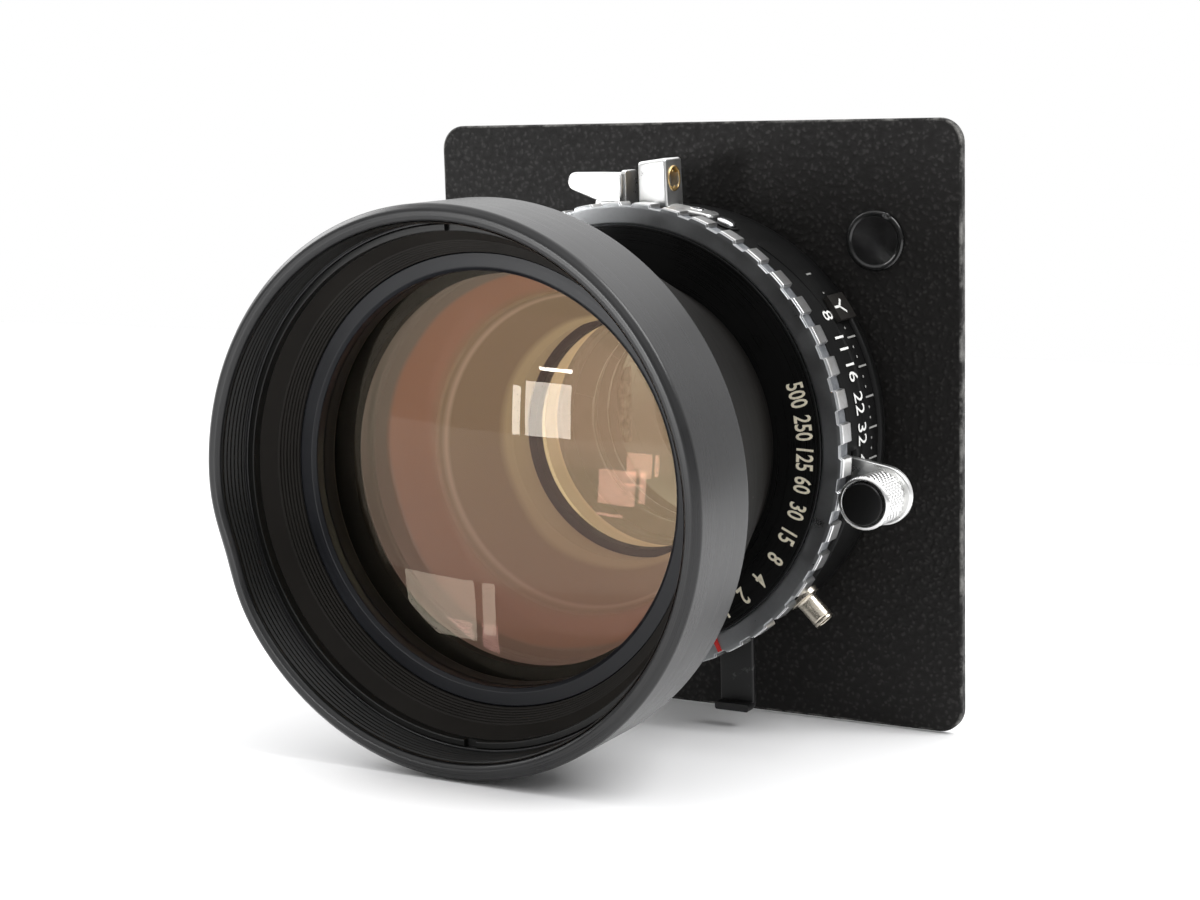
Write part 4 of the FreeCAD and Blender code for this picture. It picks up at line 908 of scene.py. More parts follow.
class LENS_OT_dial(LensStep, bpy.types.Operator):
    """Speed dial with its figures, the notched speed ring and its grey face"""

    bl_idname = "lens.dial"
    bl_label = "Speed dial and ring"

    def execute(self, context):
        face, size = DIAL_FACE, DIAL_RADIUS
        plate = revolved("speed_dial", soften([
            (21.6, face - 1.4), (32.0, face - 1.4), (32.0, CASE_RIM - 0.6), (33.4, CASE_RIM - 0.6),
                                               (33.4, face - 0.7),
            (size, face - 0.7), (size, face), (21.6, face)], 0.12), straight(), finish("dial"), "base",
                         slot="dial_black")
        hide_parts("dial_plate")
        self.ring()
        tall = self.sizes().figure_height / MM
        speeds = [("500", 15.6), ("250", 6.3), ("125", -2.7), ("60", -10.0), ("30", -17.8), ("15", -25.8),
                  ("8", -33.4),
                  ("4", -41.3), ("2", -48.9), ("1", -56.3)]
        marks = []
        for text, angle in speeds:
            x, up = 31.55 * math.cos(math.radians(angle)), 31.55 * math.sin(math.radians(angle))
            marks.append((text, tall, 0.68, straight(x, up, face + 0.01, angle - 90)))
        figures("speed_figures", marks, finish("cream"), "base", weight=0.016)
        return {"FINISHED"}

    def ring(self):
        """Ring whose outside drops by the notch depth inside each notch; the face plate dips with every notch."""
        rim, deep, half = 0.3, 0.75, 1.15
        back, front, size = RING_BACK, RING_FRONT, RING_RADIUS
        inner = 33.45
        edge = 0.14
        profile = np.array([
            (inner, back), (size - deep - 0.2, back), (size - deep, back), (size - edge * 2, back),
                            (size - edge, back + 0.03),
            (size - 0.03, back + edge), (size, back + edge * 2), (size, back + 0.5),
                            (size, front - rim - 0.25),
            (size, front - rim - 0.12), (size, front - rim), (size, front - 0.12),
                            (size - 0.03, front - 0.05),
            (size - 0.12, front), (size - 0.75, front), (inner, front)])
        step = TURN / 45
        half_angle = half / size
        share = np.array([-0.5, -0.3, -0.1, 0.1, 0.3, 0.5])
        inside = share * 2 * half_angle * 0.86
        corners = np.array([-half_angle * 1.25, -half_angle * 1.08, -half_angle, half_angle,
                            half_angle * 1.08, half_angle * 1.25])
        pads = np.array([0.3, 0.4, 0.5, 0.6, 0.7]) * step
        one = np.sort(np.concatenate([inside, corners, pads]))
        t = (np.arange(45)[:, None] * step + one[None, :]).ravel()[None, :]
        away = np.abs((t / step + 0.5) % 1 - 0.5) * step
        cut = np.clip((half_angle * 1.08 - away) / (half_angle * 0.22), 0, 1)
        cut = cut * cut * (3 - 2 * cut)
        radius, ahead = profile[:, :1], profile[:, 1:]
        depth = np.where(ahead > front - rim, 0.42 + (deep - 0.42) * np.clip((front - ahead) / rim, 0, 1),
                         deep)
        lowered = np.where(radius > size - 0.5, np.minimum(radius, radius - depth * cut), radius)
        points = to_row(lowered * np.cos(t), lowered * np.sin(t), ahead + 0 * t)
        ring = piece("notched_ring", points, grid_faces(len(profile), t.shape[1], True, True),
                     finish("ring"), "speed_ring",
                     sharp=32.0, slot="chrome")
        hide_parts("speed_ring")
        low, high = ahead_of("speed_face")
        inner = DIAL_RADIUS + 0.1
        profile = soften([(inner, low), (size - 0.1, low), (size - 0.1, high - 0.1), (size - 0.2, high),
                          (size - 0.75, high), (inner + 0.25, high - 0.25), (inner, high - 0.35)], 0.05)
        radius, ahead = profile[:, :1], profile[:, 1:]
        lowered = np.where(radius > size - 0.6, radius - 0.42 * cut, radius)
        points = to_row(lowered * np.cos(t), lowered * np.sin(t), ahead + 0 * t)
        face = piece("ring_face", points, grid_faces(len(profile), t.shape[1], True, True), finish("face"),
                     "speed_ring",
                     sharp=32.0, slot="face_grey")
        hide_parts("speed_face")
        strokes("speed_index", [((-1.1, 0.0), (1.25, 0.0))], 0.75, 0.14,
                straight(35.75 * math.cos(math.radians(-63.7)), 35.75 * math.sin(math.radians(-63.7)),
                         high - 0.1, -63.7),
                finish("red"), "speed_ring")


class LENS_OT_aperture(LensStep, bpy.types.Operator):
    """Aperture scale bent round the case, and the pointer on its tab"""

    bl_idname = "lens.aperture"
    bl_label = "Aperture scale and pointer"

    def execute(self, context):
        back, front = ahead_of("aperture_scale")
        radius = CASE_RADIUS
        plate = slab("aperture_plate", rounded_rectangle(math.radians(76) * radius, front - back, 0.9), 0.2,
                     0.07,
                     wrapped(radius, 19.4, (back + front) / 2), finish("case"), "base", fill=24,
                     slot="black_anodised")
        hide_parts("aperture_scale")
        on_scale = radius + 0.2
        tall = self.sizes().stop_height / MM
        marks = []
        for text, angle in [("8", 32.4), ("11", 24.8), ("16", 17.2), ("22", 9.5), ("32", 1.9),
                            ("45", -5.8)]:
            marks.append((text, tall, 0.86, self.facing_out(on_scale, angle, BOARD_FRONT + 13.1)))
        figures("stop_figures", marks, finish("white"), "base")
        marks = []
        for step in range(-1, 5):
            for third in (1, 2):
                marks.append((".", 0.42, 1.0, self.facing_out(on_scale, 33.3 - 7.65 * (step + third / 3),
                                                              BOARD_FRONT + 9.6)))
        figures("stop_dots", marks, finish("grey"), "base")
        flat = wrapped(on_scale, 0.0, BOARD_FRONT)
        lines = []
        for index in range(6):
            arc = math.radians(33.3 - 7.65 * index) * on_scale
            lines.append(((arc, 7.3), (arc, 10.3)))
        lines.append(((math.radians(44.5) * on_scale, 8.6), (math.radians(44.5) * on_scale, 10.3)))
        strokes("stop_lines", lines, 0.30, 0.02, flat, finish("grey"), "base")
        tab = wrapped(TAB_RADIUS, 33.4, BOARD_FRONT)
        strokes("pointer", [((0.0, 9.5), (0.0, 11.4)), ((0.0, 9.6), (1.15, 8.0)),
                            ((0.0, 9.6), (-1.15, 8.0))], 0.42, 0.03,
                tab, finish("white"), "aperture")
        return {"FINISHED"}

    def facing_out(self, radius, angle, ahead):
        """Mapping for a figure read clockwise round the case: its top points back at the board."""
        bent = wrapped(radius, angle, ahead)
        return lambda a, b, h: bent(-a, -b, h + 0.01)


class LENS_OT_levers(LensStep, bpy.types.Operator):
    """Cocking lever with its knurled knob, release lever, lock button and blade opener"""

    bl_idname = "lens.levers"
    bl_label = "Levers, knob and button"

    def execute(self, context):
        self.cocking()
        self.release()
        self.button()
        self.opener()
        return {"FINISHED"}

    def cocking(self):
        low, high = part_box("cocking_knob")
        middle = (low + high) / 2 / MM
        size = (high.x - low.x) / 2 / MM
        back, front = ahead_of("cocking_knob")
        turn = math.degrees(math.atan2(middle.z, middle.x))
        reach = math.hypot(middle.x, middle.z)
        boss = 4.7
        t = np.linspace(-QUARTER, QUARTER, 25)
        tip = np.stack([reach + boss * np.cos(t), boss * np.sin(t)], axis=-1)
        heel = np.array([(31.5, 4.7), (30.5, 4.3), (26.0, 2.4), (25.4, 1.2), (25.3, 0.0), (25.4, -1.2),
                         (26.0, -2.4), (30.5, -4.3),
                         (31.5, -4.7)])
        outline = hull_outline(np.concatenate([tip, heel]))
        arm_back = BOARD_FRONT + 15.6
        arm = slab("cocking_arm", outline, 1.3, 0.3, straight(0, 0, arm_back, turn), finish("satin"),
                   "cocking", slot="steel")
        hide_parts("cocking_lever")
        revolved("cocking_hub", soften([(22.1, arm_back), (26.1, arm_back), (26.1, arm_back + 1.3),
                                        (22.1, arm_back + 1.3)], 0.2),
                 straight(), finish("satin"), "cocking", steps=96, slot="steel")
        place = straight(middle.x, middle.z)
        rows = np.linspace(back + 1.0, front - 0.95, 46)
        profile = np.concatenate([
            [(0, back), (size - 0.5, back), (size - 0.45, back + 0.06), (size - 0.45, back + 0.8),
             (size - 0.2, back + 0.93)],
            np.stack([np.full(46, size), rows], axis=-1),
            [(size - 0.3, front - 0.88), (size - 0.38, front - 0.8), (size - 0.38, front - 0.55),
             (size - 0.12, front - 0.45),
             (size - 0.03, front - 0.36), (size - 0.03, front - 0.28), (size - 0.42, front - 0.02),
             (size - 0.5, front),
             (size - 0.62, front - 0.04), (size - 0.75, front - 0.2), (0, front - 0.2)]])

        def knurl(t, radius, height):
            """Two families of crossing helical grooves; the lower of the two is what is left."""
            lean = height * TURN / 1.15
            one = np.abs((26 * t + lean) / math.pi % 2 - 1)
            other = np.abs((26 * t - lean) / math.pi % 2 - 1)
            band = (height > back + 0.95) & (height < front - 0.9) & (radius > size - 0.1)
            return radius - band * 0.26 * np.maximum(one, other), height

        knob = revolved("knurled_knob", profile, place, finish("satin"), "cocking", steps=208, closed=False,
                        ripple=knurl,
                        sharp=60.0, slot="chrome")
        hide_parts("cocking_knob")
        cap_front = ahead_of("knob_cap")[1]
        cap = revolved("knob_end", [(0, front - 0.15), (size - 1.05, front - 0.15),
                                    (size - 1.0, front - 0.1), (size - 0.9, cap_front - 0.45),
                                    (size - 1.0, cap_front - 0.32), (size - 1.2, cap_front - 0.28),
                                    (0, cap_front - 0.36)],
                       place, finish("dial"), "cocking", steps=96, closed=False, slot="dial_black")
        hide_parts("knob_cap")

    def release(self):
        """Thumb tab as a round-ended paddle, its shank, and a tongue."""
        back = BOARD_FRONT + 17.3
        bottom = CASE_RADIUS + 0.9
        tall, end = 4.9, 1.5
        t = np.linspace(QUARTER, 3 * QUARTER - 0.35, 15)
        round_end = np.stack([-10.7 + end * np.cos(t), bottom + tall - end + end * np.sin(t)], axis=-1)
        rest = [(-6.6, bottom + 0.15), (-6.0, bottom), (-2.8, bottom), (-2.45, bottom + 0.35),
                (-2.4, bottom + tall - 0.5),
                (-2.7, bottom + tall - 0.05), (-6.0, bottom + tall)]
        tab = slab("release_tab", hull_outline(np.concatenate([round_end, rest])), 1.0, 0.3,
                   straight(0, 0, back),
                   finish("satin"), "release", slot="steel")
        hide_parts("release_lever")
        slab("release_shank", rounded_rectangle(4.0, 11.2, 1.6), 0.9, 0.15,
             straight(-5.2, 33.2, back + 0.05),
             finish("satin"), "release", slot="steel")
        slab("release_tongue", rounded_rectangle(5.4, 4.0, 0.5), 0.8, 0.2,
             sideways(-3.2, bottom + 2.4, BOARD_FRONT + 14.7),
             finish("satin"), "release", slot="steel")

    def button(self):
        place = standing(CASE_RADIUS, 67.3, BOARD_FRONT + 14.2)
        t = np.linspace(0, QUARTER, 9)
        size = 1.6
        dome = np.stack([size * np.cos(t), 0.6 + 0.5 * np.sin(t)], axis=-1)
        stem = [(0, -3.1), (size + 0.35, -3.1), (size + 0.35, -2.2), (size, -2.2), (size, 0.5)]
        button = revolved("dome_button", np.concatenate([stem, dome]), place, finish("chrome"), "button",
                          steps=64,
                          closed=False, slot="chrome")
        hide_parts("lock_button")
        revolved("button_collar", soften([(1.7, 0.0), (2.3, 0.0), (2.3, 0.3), (1.7, 0.3)], 0.1), place,
                 finish("case"), "base",
                 steps=64, slot="black_anodised")

    def opener(self):
        """Strip bent forward at its foot: a rounded section carried down and round the bend."""
        low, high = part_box("opener_lever")
        wide = (high.x - low.x) / MM
        thick = 1.2
        back = BOARD_FRONT + 12.5
        top, bottom = high.z / MM, low.z / MM
        section = rounded_rectangle(wide, thick, 0.35, 5)(0.0)
        bend = np.linspace(0, QUARTER, 9)
        curve = np.stack([bottom + 1.2 - 0.6 * np.sin(bend), back + thick / 2 + 0.6 - 0.6 * np.cos(bend)],
                         axis=-1)
        path = np.concatenate([[(top - 3.0, back + thick / 2), (top - 8.0, back + thick / 2),
                                (bottom + 3, back + thick / 2)], curve,
                               [(bottom + 0.6, back + 2.6), (bottom + 0.6, back + 3.35)]])
        lever = swept("opener_strip", section, path, finish("lever_black"), "opener",
                      x=(low.x + high.x) / 2 / MM, sharp=50.0,
                      slot="black_anodised")
        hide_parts("opener_lever")
        t = np.linspace(0, TURN, 48, endpoint=False)
        eye = hull_outline(np.stack([wide / 2 * np.cos(t), wide / 2 * np.sin(t)], axis=-1))
        slab("opener_eye", eye, thick, 0.2, straight((low.x + high.x) / 2 / MM, top - wide / 2, back),
             finish("lever_black"), "opener",
             hole=(0.0, 0.0, 0.95), fill=2, slot="black_anodised")


class LENS_OT_fittings(LensStep, bpy.types.Operator):
    """Cable release socket with its brass bush and foot, and the flash terminal"""

    bl_idname = "lens.fittings"
    bl_label = "Cable socket and flash terminal"

    def execute(self, context):
        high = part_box("cable_socket")[1]
        back, front = ahead_of("cable_socket")
        top = high.z / MM
        bottom = CASE_RADIUS - 0.3
        bush_low, bush_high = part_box("cable_bush")
        bore = (bush_low.z + bush_high.z) / 2 / MM - (top + bottom) / 2
        flat = sideways(0.0, (top + bottom) / 2, (back + front) / 2)
        half = (top - bottom) / 2

        def leaning(a, b, h):
            """The right side leans in towards its top, and the top falls away a little to the left."""
            share = h / 5.0
            return flat(a - 0.6 * (1 - share) * np.clip(a / half, 0, 1), b,
                        h + share * (0.2 - 0.3 * (a + half) / half / 2))

        block = slab("socket_block", rounded_rectangle(top - bottom, front - back, 0.7), 5.0, 0.4, leaning,
                     finish("satin"),
                     "base", hole=(bore, 0.0, 2.12), slot="steel")
        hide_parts("cable_socket")
        slab("socket_foot", rounded_rectangle(12.0, 4.8, 1.4), 0.9, 0.3,
             wrapped(CASE_RADIUS, 80.0, (back + front) / 2 + 0.1),
             finish("satin"), "base", fill=8, slot="steel")
        self.bush(bore + (top + bottom) / 2, (back + front) / 2)
        self.screw((back + front) / 2)
        self.terminal()
        return {"FINISHED"}

    def bush(self, up, ahead):
        """Brass bush whose bore is a helical thread: the radius follows height and angle together."""
        rows = np.linspace(0.45, 4.55, 66)
        bore = np.stack([np.full(66, 1.60), rows[::-1]], axis=-1)
        profile = np.concatenate([[(0.6, 0.2), (2.0, 0.1), (2.1, 0.2), (2.1, 4.95), (2.02, 5.15),
                                   (1.8, 5.15)], bore,
                                  [(0.6, 0.45)]])

        def thread(t, radius, height):
            wave = np.abs((height / 0.62 - t / TURN) % 1 - 0.5) * 2
            return np.where(np.abs(radius - 1.6) < 0.05, radius + 0.2 * wave, radius), height

        bush = revolved("brass_bush", profile, sideways(0.0, up, ahead), finish("brass"), "base", steps=72,
                        ripple=thread,
                        sharp=70.0, slot="brass")
        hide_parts("cable_bush")

    def screw(self, ahead):
        """Cheese-head screw: a domed disc whose top drops inside a straight slot."""
        rings = np.linspace(0, 1.1, 14)
        top = np.stack([rings, 0.62 - 0.08 * (rings / 1.1) ** 2], axis=-1)
        profile = np.concatenate([top, [(1.18, 0.48), (1.2, 0.4), (1.2, 0.0), (0, 0.0)]])

        def slot(t, radius, height):
            inside = (np.abs(radius * np.sin(t - 0.5)) < 0.17) & (height > 0.3)
            return radius, np.where(inside, 0.3, height)

        screw = revolved("foot_screw", profile, standing(CASE_RADIUS + 0.45, 76.0, ahead), finish("chrome"),
                         "base", steps=120,
                         closed=False, ripple=slot, slot="chrome")
        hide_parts("socket_screw")

    def terminal(self):
        place = standing(CASE_RADIUS, -45.5, BOARD_FRONT + 11.8)
        sleeve = revolved("flash_sleeve", soften([(1.3, -0.2), (2.65, -0.2), (2.65, 0.75), (1.95, 0.8),
                                                  (1.75, 1.1), (1.75, 4.6),
                                                  (1.62, 4.75), (1.75, 4.95), (1.75, 5.3), (1.5, 5.4),
                                                  (1.35, 5.3), (1.35, 1.4)], 0.1),
                          place, finish("nickel"), "base", steps=96, slot="nickel")
        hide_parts("sync_sleeve")
        insulator = revolved("flash_insulator", [(0, -1.4), (1.3, -1.4), (1.3, 1.3), (1.1, 1.45),
                                                 (0, 1.45)], place,
                             finish("insulator"), "base", steps=64, closed=False, slot="insulator")
        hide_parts("sync_insulator")
        pin = revolved("flash_pin", [(0, -1.4), (0.42, -1.4), (0.42, 4.0), (0.34, 4.3), (0.15, 4.45),
                                     (0, 4.5)], place,
                       finish("nickel"), "base", steps=32, closed=False, slot="nickel")
        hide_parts("sync_pin")


class LENS_OT_front_cell(LensStep, bpy.types.Operator):
    """Front barrel with its filter thread, hood ring, grooved baffle, clamp ring and glasses"""

    bl_idname = "lens.front_cell"
    bl_label = "Front cell"

    def dent(self):
        """Dent in the rim: a smooth hollow pushed in at one bearing, fading behind the rim."""
        depth = self.sizes().dent_depth / MM

        def ripple(t, radius, height):
            bearing = np.angle(np.exp(1j * (t - math.radians(196))))
            hollow = np.exp(-(bearing / 0.16) ** 2) * np.clip((height - (RIM - 12)) / 12, 0, 1) ** 2
            return radius - depth * hollow * (radius > 36), height

        return ripple

    def execute(self, context):
        r, rim = BAND_RADIUS, RIM
        band = BOARD_FRONT + 62.6
        edge = self.sizes().edge_round / MM
        seat = BOARD_FRONT + 24.2
        baffle_back, baffle_front = ahead_of("baffle")
        hood_front = ahead_of("hood_ring")[1]
        clamp_back = ahead_of("front_clamp")[0]
        glass_back = BOARD_FRONT + 54.6
        second_back = ahead_of("second_glass")[0]
        inner_back = ahead_of("inner_glass")[0]
        profile = soften([
            (17.0, BOARD_FRONT + 10.6), (19.9, BOARD_FRONT + 10.6), (19.9, seat), (26.5, seat),
                          (26.5, BOARD_FRONT + 25.0),
            (r - 1.7, band - 1.2), (r - 0.5, band), (r, band + 0.5), (r, band + 4), (r, rim - 6),
                          (r, rim - 0.8), (r - 0.8, rim),
            (38.9, rim), (38.35, rim - 0.5), (38.25, hood_front), (37.7, hood_front), (37.7, baffle_back),
                          (33.2, baffle_back),
            (33.2, clamp_back), (33.2, glass_back - 3.0), (31.1, glass_back - 3.0), (31.1, second_back),
                          (29.1, second_back),
            (18.1, inner_back + 12), (18.1, inner_back), (17.0, inner_back)], edge, steps=5)
        barrel = revolved("barrel", profile, straight(), finish("barrel"), "base", steps=288,
                          ripple=self.dent(),
                          slot="black_anodised")
        # Faces behind the band take the neck finish, a darker copy of the barrel black: painted shade.
        barrel.data.materials.append(finish("neck"))
        # The lining finish, with painted reflections and a glow, goes on the faces inside the cone behind the second
        # glass.
        barrel.data.materials.append(finish("lining"))
        for face in barrel.data.polygons:
            ahead = -face.center.y / MM
            away = math.hypot(face.center.x, face.center.z) / MM
            within = inner_back < ahead < second_back + 0.3 and away < max(18.6,
                                                                           31.4 - (second_back - ahead) * 0.5)
            face.material_index = 2 if within else int(ahead < band - 0.6)
        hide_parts("front_barrel")
        self.filter_thread(hood_front)
        self.rings(hood_front, baffle_back, baffle_front)
        self.cone(second_back, inner_back)
        self.glasses()
        return {"FINISHED"}

    def filter_thread(self, foot):
        """Helical thread: radius = crest + depth x triangle wave of (height / pitch - turn), closed by a plain back."""
        pitch, depth = self.sizes().thread_pitch / MM, self.sizes().thread_depth / MM
        rows = np.linspace(foot + 0.05, RIM - 0.75, 60)
        inner = np.stack([np.full(60, 38.22 - depth), rows], axis=-1)
        profile = np.concatenate([[(38.24, foot + 0.02)], inner, [(38.24, RIM - 0.65)]])
        dent = self.dent()

        def thread(t, radius, height):
            wave = np.abs((height / pitch - t / TURN) % 1 - 0.5) * 2
            fade = np.clip((height - foot) / 0.5, 0, 1) * np.clip((RIM - 0.7 - height) / 0.5, 0, 1)
            return dent(t, np.minimum(radius + depth - depth * wave * fade, 38.24), height)

        revolved("filter_thread", profile, straight(), finish("thread"), "base", steps=224, ripple=thread,
                 sharp=75.0,
                 slot="black_anodised")

    def rings(self, hood_front, baffle_back, baffle_front):
        """Notched hood ring, baffle with fine grooves, and the satin ring that clamps the glass."""
        hood_back, inner = ahead_of("hood_ring")[0], 36.6
        t = np.unique(np.concatenate([np.linspace(0, TURN, 240, endpoint=False),
                                      QUARTER + np.array([-0.0275, -0.027, 0.027, 0.0275]),
                                      3 * QUARTER + np.array([-0.0275, -0.027, 0.027, 0.0275])]))[None, :]
        profile = soften([(inner, hood_back), (37.65, hood_back), (37.65, hood_front), (inner, hood_front)],
                         0.18)
        radius, height = np.repeat(profile[:, :1], t.shape[1], 1), np.repeat(profile[:, 1:], t.shape[1], 1)
        notch = (np.abs(np.cos(t)) * radius < 1.0)
        height = np.where(notch, np.minimum(height, hood_front - 0.8), height)
        points = to_row(radius * np.cos(t), radius * np.sin(t), height)
        hood = piece("hood_notched", points, grid_faces(*radius.shape, True, True), finish("thread"),
                     "base", slot="baffle_black")
        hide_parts("hood_ring")
        rows = 120
        along = np.linspace(0, 1, rows)
        slope = np.stack([33.2 + (inner - 33.2) * along,
                          baffle_back + (baffle_front - baffle_back) * along], axis=-1)
        groove = 0.16 * np.abs(np.sin(along / 0.56 * math.pi * 7)) * (along < 0.56)
        away = np.array([-(baffle_front - baffle_back), inner - 33.2])
        slope += groove[:, None] * (away / np.linalg.norm(away) * -1)[None, :] * -1
        profile = np.concatenate([slope, [(37.6, baffle_front), (37.6, baffle_back)]])
        cone = revolved("baffle_grooved", profile, straight(), finish("baffle"), "base", steps=192,
                        sharp=60.0, slot="baffle_black")
        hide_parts("baffle")
        low, high = ahead_of("front_clamp")
        clamp = revolved("clamp_turned", soften([(30.9, low), (33.1, low), (33.1, high), (31.0, high),
                                                 (30.45, high - 0.5),
                                                 (30.7, high - 2.6)], 0.14),
                         straight(), finish("clamp"), "base", slot="clamp_satin")
        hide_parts("front_clamp")
        revolved("clamp_wall", soften([(30.62, low + 0.02), (30.9, low + 0.02), (30.72, high - 2.7),
                                       (30.6, high - 2.5)], 0.05),
                 straight(), finish("inside"), "base", slot="black_anodised")

    def cone(self, second_back, inner_back):
        """Lining of the cone behind the second glass: a slope with one shallow step part of the way down, carrying the
        lining finish of painted reflections and glow.
        """
        start, end = np.array([28.6, second_back - 0.3]), np.array([17.6, inner_back + 12.3])
        step = start + (end - start) * 0.46
        corners = [tuple(start), (step[0] + 0.25, step[1] + 0.1), (step[0] - 0.25, step[1] - 0.1),
                   tuple(end),
                   (18.5, inner_back + 12.0), (29.4, second_back - 0.15)]
        revolved("cone_lining", soften(corners, 0.08, steps=2), straight(), finish("lining"), "base",
                 steps=192,
                 slot="black_anodised")

    def lens(self, name, node_name, edge_radius, back, front, curves, glaze):
        """Element between two spherical faces: height = face +/- (root(R^2 - r^2) - root(R^2 - edge^2))."""
        share = np.sin(np.linspace(0, QUARTER, 28))
        r = share * edge_radius

        def rise(curve):
            if not curve:
                return 0 * r
            size = abs(curve)
            return math.copysign(1,
                                 curve) * (np.sqrt(size ** 2 - r ** 2) - math.sqrt(size ** 2 - edge_radius ** 2))

        face = np.stack([r, front + rise(curves[0])], axis=-1)
        rear = np.stack([r, back - rise(curves[1])], axis=-1)
        profile = np.concatenate([face, rear[::-1]])
        made = revolved(name, profile, straight(), finish(glaze), "base", steps=192, closed=False,
                        slot="glass")
        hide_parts(node_name)

    def glasses(self):
        front = BOARD_FRONT + 54.6
        self.lens("glass_front", "front_glass", 33.0, front, front + 4.8, (118.0, 260.0), "front_glass")
        low, high = ahead_of("second_glass")
        self.lens("glass_second", "second_glass", 31.0, low, high, (-420.0, -320.0), "second_glass")
        inner = BOARD_FRONT + 17.0
        self.lens("glass_inner", "inner_glass", 18.0, inner, inner + 3.2, (-70.0, 55.0), "inner_glass")


class LENS_OT_rear_cell(LensStep, bpy.types.Operator):
    """Rear barrel with its clamp ring and glasses"""

    bl_idname = "lens.rear_cell"
    bl_label = "Rear cell"

    def execute(self, context):
        back, front = ahead_of("rear_barrel")
        size = radius_of("rear_barrel")
        shelf = -7.6
        barrel = revolved("rear_barrel_turned", self.profile(size, back, front, shelf), straight(),
                          finish("barrel"), "base",
                          steps=360, slot="black_anodised")
        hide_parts("rear_barrel")
        low, high = ahead_of("rear_clamp")

        def notch(t, radius, height):
            inside = (np.abs(np.sin(t)) * radius < 1.0) & (radius > 18)
            return radius, np.where(inside, np.maximum(height, low + 0.8), height)

        clamp = revolved("rear_clamp_turned", soften([(19.2, low), (21.05, low), (21.05, high),
                                                      (19.2, high)], 0.15), straight(),
                         finish("case"), "base", steps=288, ripple=notch, slot="black_anodised")
        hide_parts("rear_clamp")
        rear_front = shelf - 3.0
        self.glass("glass_rear_front", "rear_glass_1", rear_front, (-90.0, 75.0))
        self.glass("glass_rear_back", "rear_glass_2", rear_front - 8.2, (140.0, -160.0))
        return {"FINISHED"}

    def profile(self, size, back, front, shelf):
        return soften([(16.0, front), (17.85, front), (17.85, -5.2), (size - 1, -5.2), (size, -6.2),
                       (size, -8.2),
                       (size, back + 6.0), (size, back + 0.8), (size - 0.8, back), (21.1, back),
                       (21.1, shelf), (16.0, shelf)], 0.25)

    def glass(self, name, node_name, low, curves):
        LENS_OT_front_cell.lens(self, name, node_name, 21.0, low, low + 3.0, curves, "rear_glass")


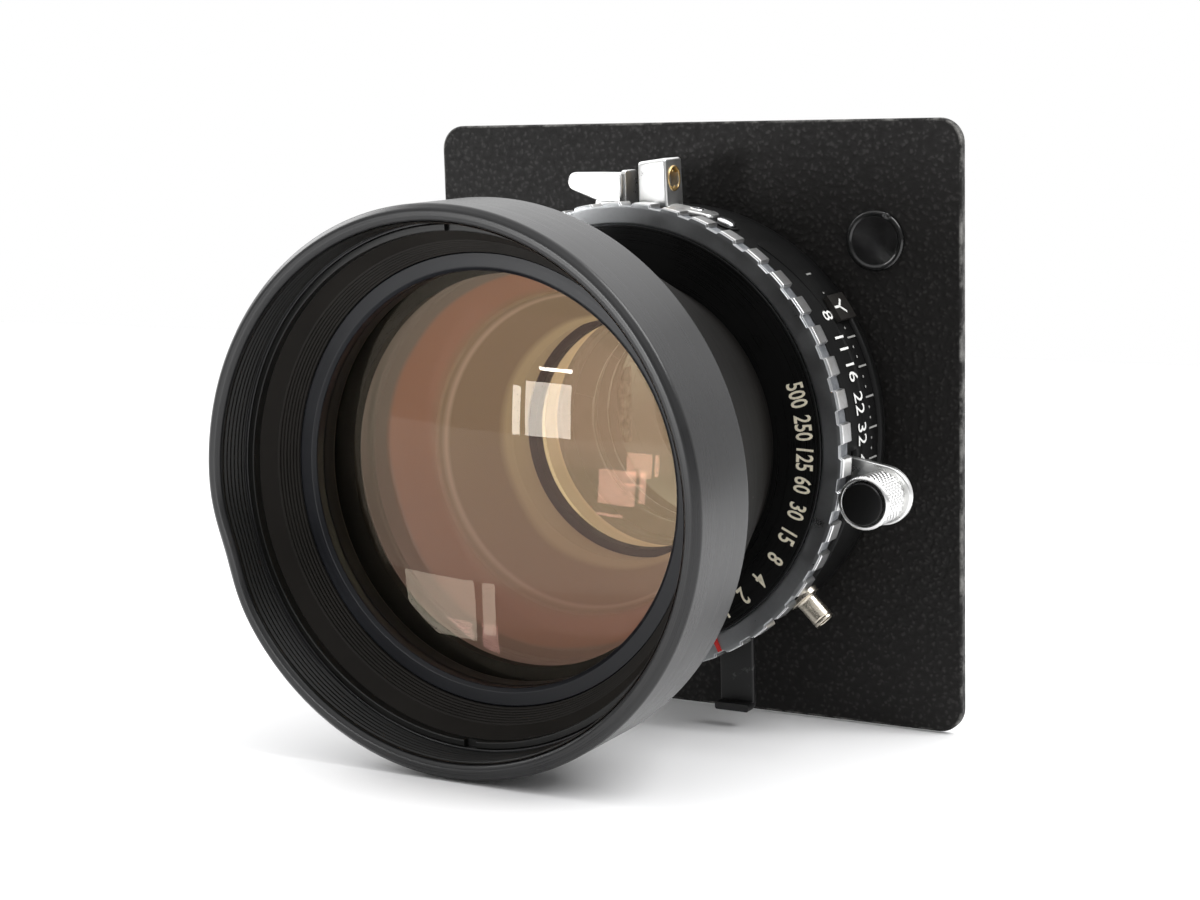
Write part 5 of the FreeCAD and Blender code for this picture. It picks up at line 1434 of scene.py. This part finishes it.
class LENS_OT_stage(LensStep, bpy.types.Operator):
    """Pale floor, soft studio light and the camera"""

    bl_idname = "lens.stage"
    bl_label = "Stage"

    def execute(self, context):
        stage = context.scene.lens_stage
        self.floor(math.tan(stage.floor_tilt))
        self.world(context)
        self.camera(context, stage)
        self.lights()
        context.scene.view_settings.view_transform = "Standard"
        return {"FINISHED"}

    def floor(self, tilt):
        """Plain sheet: it rises towards the front by the tilt, through the board's lower front edge."""
        x, y = np.meshgrid(np.linspace(-3, 3, 13), np.linspace(-0.36, 3, 13), indexing="ij")
        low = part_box("lens_board")[0].z
        z = low - 0.0002 + (-BOARD_FRONT * MM - y) * tilt
        mesh = bpy.data.meshes.new("floor")
        mesh.from_pydata(np.stack([x, y, z], axis=-1).reshape(-1, 3).tolist(), [],
                         grid_faces(13, 13, False, False).tolist())
        made, tree, shader, place = finish_of("floor_white", (0.90, 0.90, 0.905), 0.55)
        tone = noise(tree, place, 6.0, 3.0)
        tree.links.new(mixed(tree, tone, (0.90, 0.90, 0.905), (0.885, 0.885, 0.89)),
                       shader.inputs["Base Color"])
        mesh.materials.append(made)
        floor = bpy.data.objects.new("floor", mesh)
        bpy.context.scene.collection.objects.link(floor)

    def world(self, context):
        """White surround to the eye; what lights the object is bright overhead and behind it, and dim in front."""
        world = bpy.data.worlds.new("studio")
        context.scene.world = world
        world.use_nodes = True
        tree = world.node_tree
        shade = tree.nodes["Background"]
        out = tree.nodes["World Output"]
        parts = node(tree, "ShaderNodeSeparateXYZ", [("Vector",
                                                      node(tree, "ShaderNodeTexCoord").outputs["Generated"])])
        above = span(tree, parts.outputs["Z"], 0.10, 0.85, 0.0, 1.0)
        behind = span(tree, parts.outputs["Y"], -0.25, 0.65, 0.24, 1.0)
        beside = span(tree, parts.outputs["X"], 0.1, 0.9, 1.0, 0.6)
        tree.links.new(maths(tree, "ADD", above, maths(tree, "MULTIPLY", behind, beside)),
                       shade.inputs["Strength"])
        shade.inputs["Color"].default_value = (1, 1, 1, 1)
        seen = node(tree, "ShaderNodeBackground", [("Color", (1.0, 1.0, 1.0, 1.0)), ("Strength", 1.0)])
        pick = node(tree, "ShaderNodeMixShader", [(0, node(tree,
                                                           "ShaderNodeLightPath").outputs["Is Camera Ray"]),
                                                  (1, shade.outputs[0]), (2, seen.outputs[0])])
        tree.links.new(pick.outputs[0], out.inputs["Surface"])

    def camera(self, context, stage):
        az, el, roll = stage.azimuth, stage.elevation, stage.roll
        right = Vector((math.cos(az), math.sin(az), 0))
        back = Vector((math.sin(az) * math.cos(el), -math.cos(az) * math.cos(el), math.sin(el)))
        up = back.cross(right)
        side = right * math.cos(roll) + up * math.sin(roll)
        over = up * math.cos(roll) - right * math.sin(roll)
        data = bpy.data.cameras.new("camera")
        data.lens = stage.focal_length
        data.sensor_width = 36.0
        data.sensor_fit = "HORIZONTAL"
        data.clip_start = 0.01
        camera = bpy.data.objects.new("camera", data)
        camera.matrix_world = Matrix((side, over, back)).transposed().to_4x4()
        camera.location = Vector(stage.camera_place)
        context.scene.collection.objects.link(camera)
        context.scene.camera = camera

    def lights(self):
        """Key from upper right, fill from the left, and a distant window of three panes that the glass mirrors."""
        self.softbox("key_light", (0.60, 0.10, 0.75), (0, -0.03, 0), 0.6, 0.6, 8.0)
        self.softbox("fill_light", (-0.85, 0.05, 0.55), (0, -0.04, 0), 0.5, 0.5, 5.0)
        glass = (0.008, -0.065, 0.010)
        self.softbox("window_right", (-0.316, -0.902, 0.006), glass, 0.135, 0.18, 2.2)
        self.softbox("window_left", (-0.403, -0.868, 0.0), glass, 0.024, 0.165, 0.4)
        self.softbox("window_top", (-0.298, -0.905, 0.13), glass, 0.097, 0.009, 0.3)

    def softbox(self, name, place, aim, wide, tall, power):
        data = bpy.data.lights.new(name, "AREA")
        data.shape = "RECTANGLE"
        data.size, data.size_y, data.energy = wide, tall, power
        light = bpy.data.objects.new(name, data)
        light.location = place
        light.rotation_euler = (Vector(place) - Vector(aim)).to_track_quat("Z", "Y").to_euler()
        bpy.context.scene.collection.objects.link(light)


class LENS_PT_panel(bpy.types.Panel):
    """The steps of the lens unit, in order"""

    bl_label = "Board Lens"
    bl_idname = "LENS_PT_panel"
    bl_space_type = "VIEW_3D"
    bl_region_type = "UI"
    bl_category = "Board Lens"

    def draw(self, context):
        for step in STEPS:
            self.layout.operator(step.bl_idname)


STEPS = (LENS_OT_finishes, LENS_OT_board, LENS_OT_shutter_case, LENS_OT_dial, LENS_OT_aperture,
         LENS_OT_levers, LENS_OT_fittings,
         LENS_OT_front_cell, LENS_OT_rear_cell, LENS_OT_stage)
CLASSES = (LensLook, LensSizes, StageLook, *STEPS, LENS_PT_panel)


def register():
    for entry in CLASSES:
        bpy.utils.register_class(entry)
    bpy.types.Scene.lens_look = bpy.props.PointerProperty(type=LensLook)
    bpy.types.Scene.lens_sizes = bpy.props.PointerProperty(type=LensSizes)
    bpy.types.Scene.lens_stage = bpy.props.PointerProperty(type=StageLook)


def unregister():
    del bpy.types.Scene.lens_stage
    del bpy.types.Scene.lens_sizes
    del bpy.types.Scene.lens_look
    for entry in reversed(CLASSES):
        bpy.utils.unregister_class(entry)


def main():
    register()
    for step in STEPS:
        space, label = step.bl_idname.split(".")
        getattr(getattr(bpy.ops, space), label)()


if __name__ == "__main__":
    main()
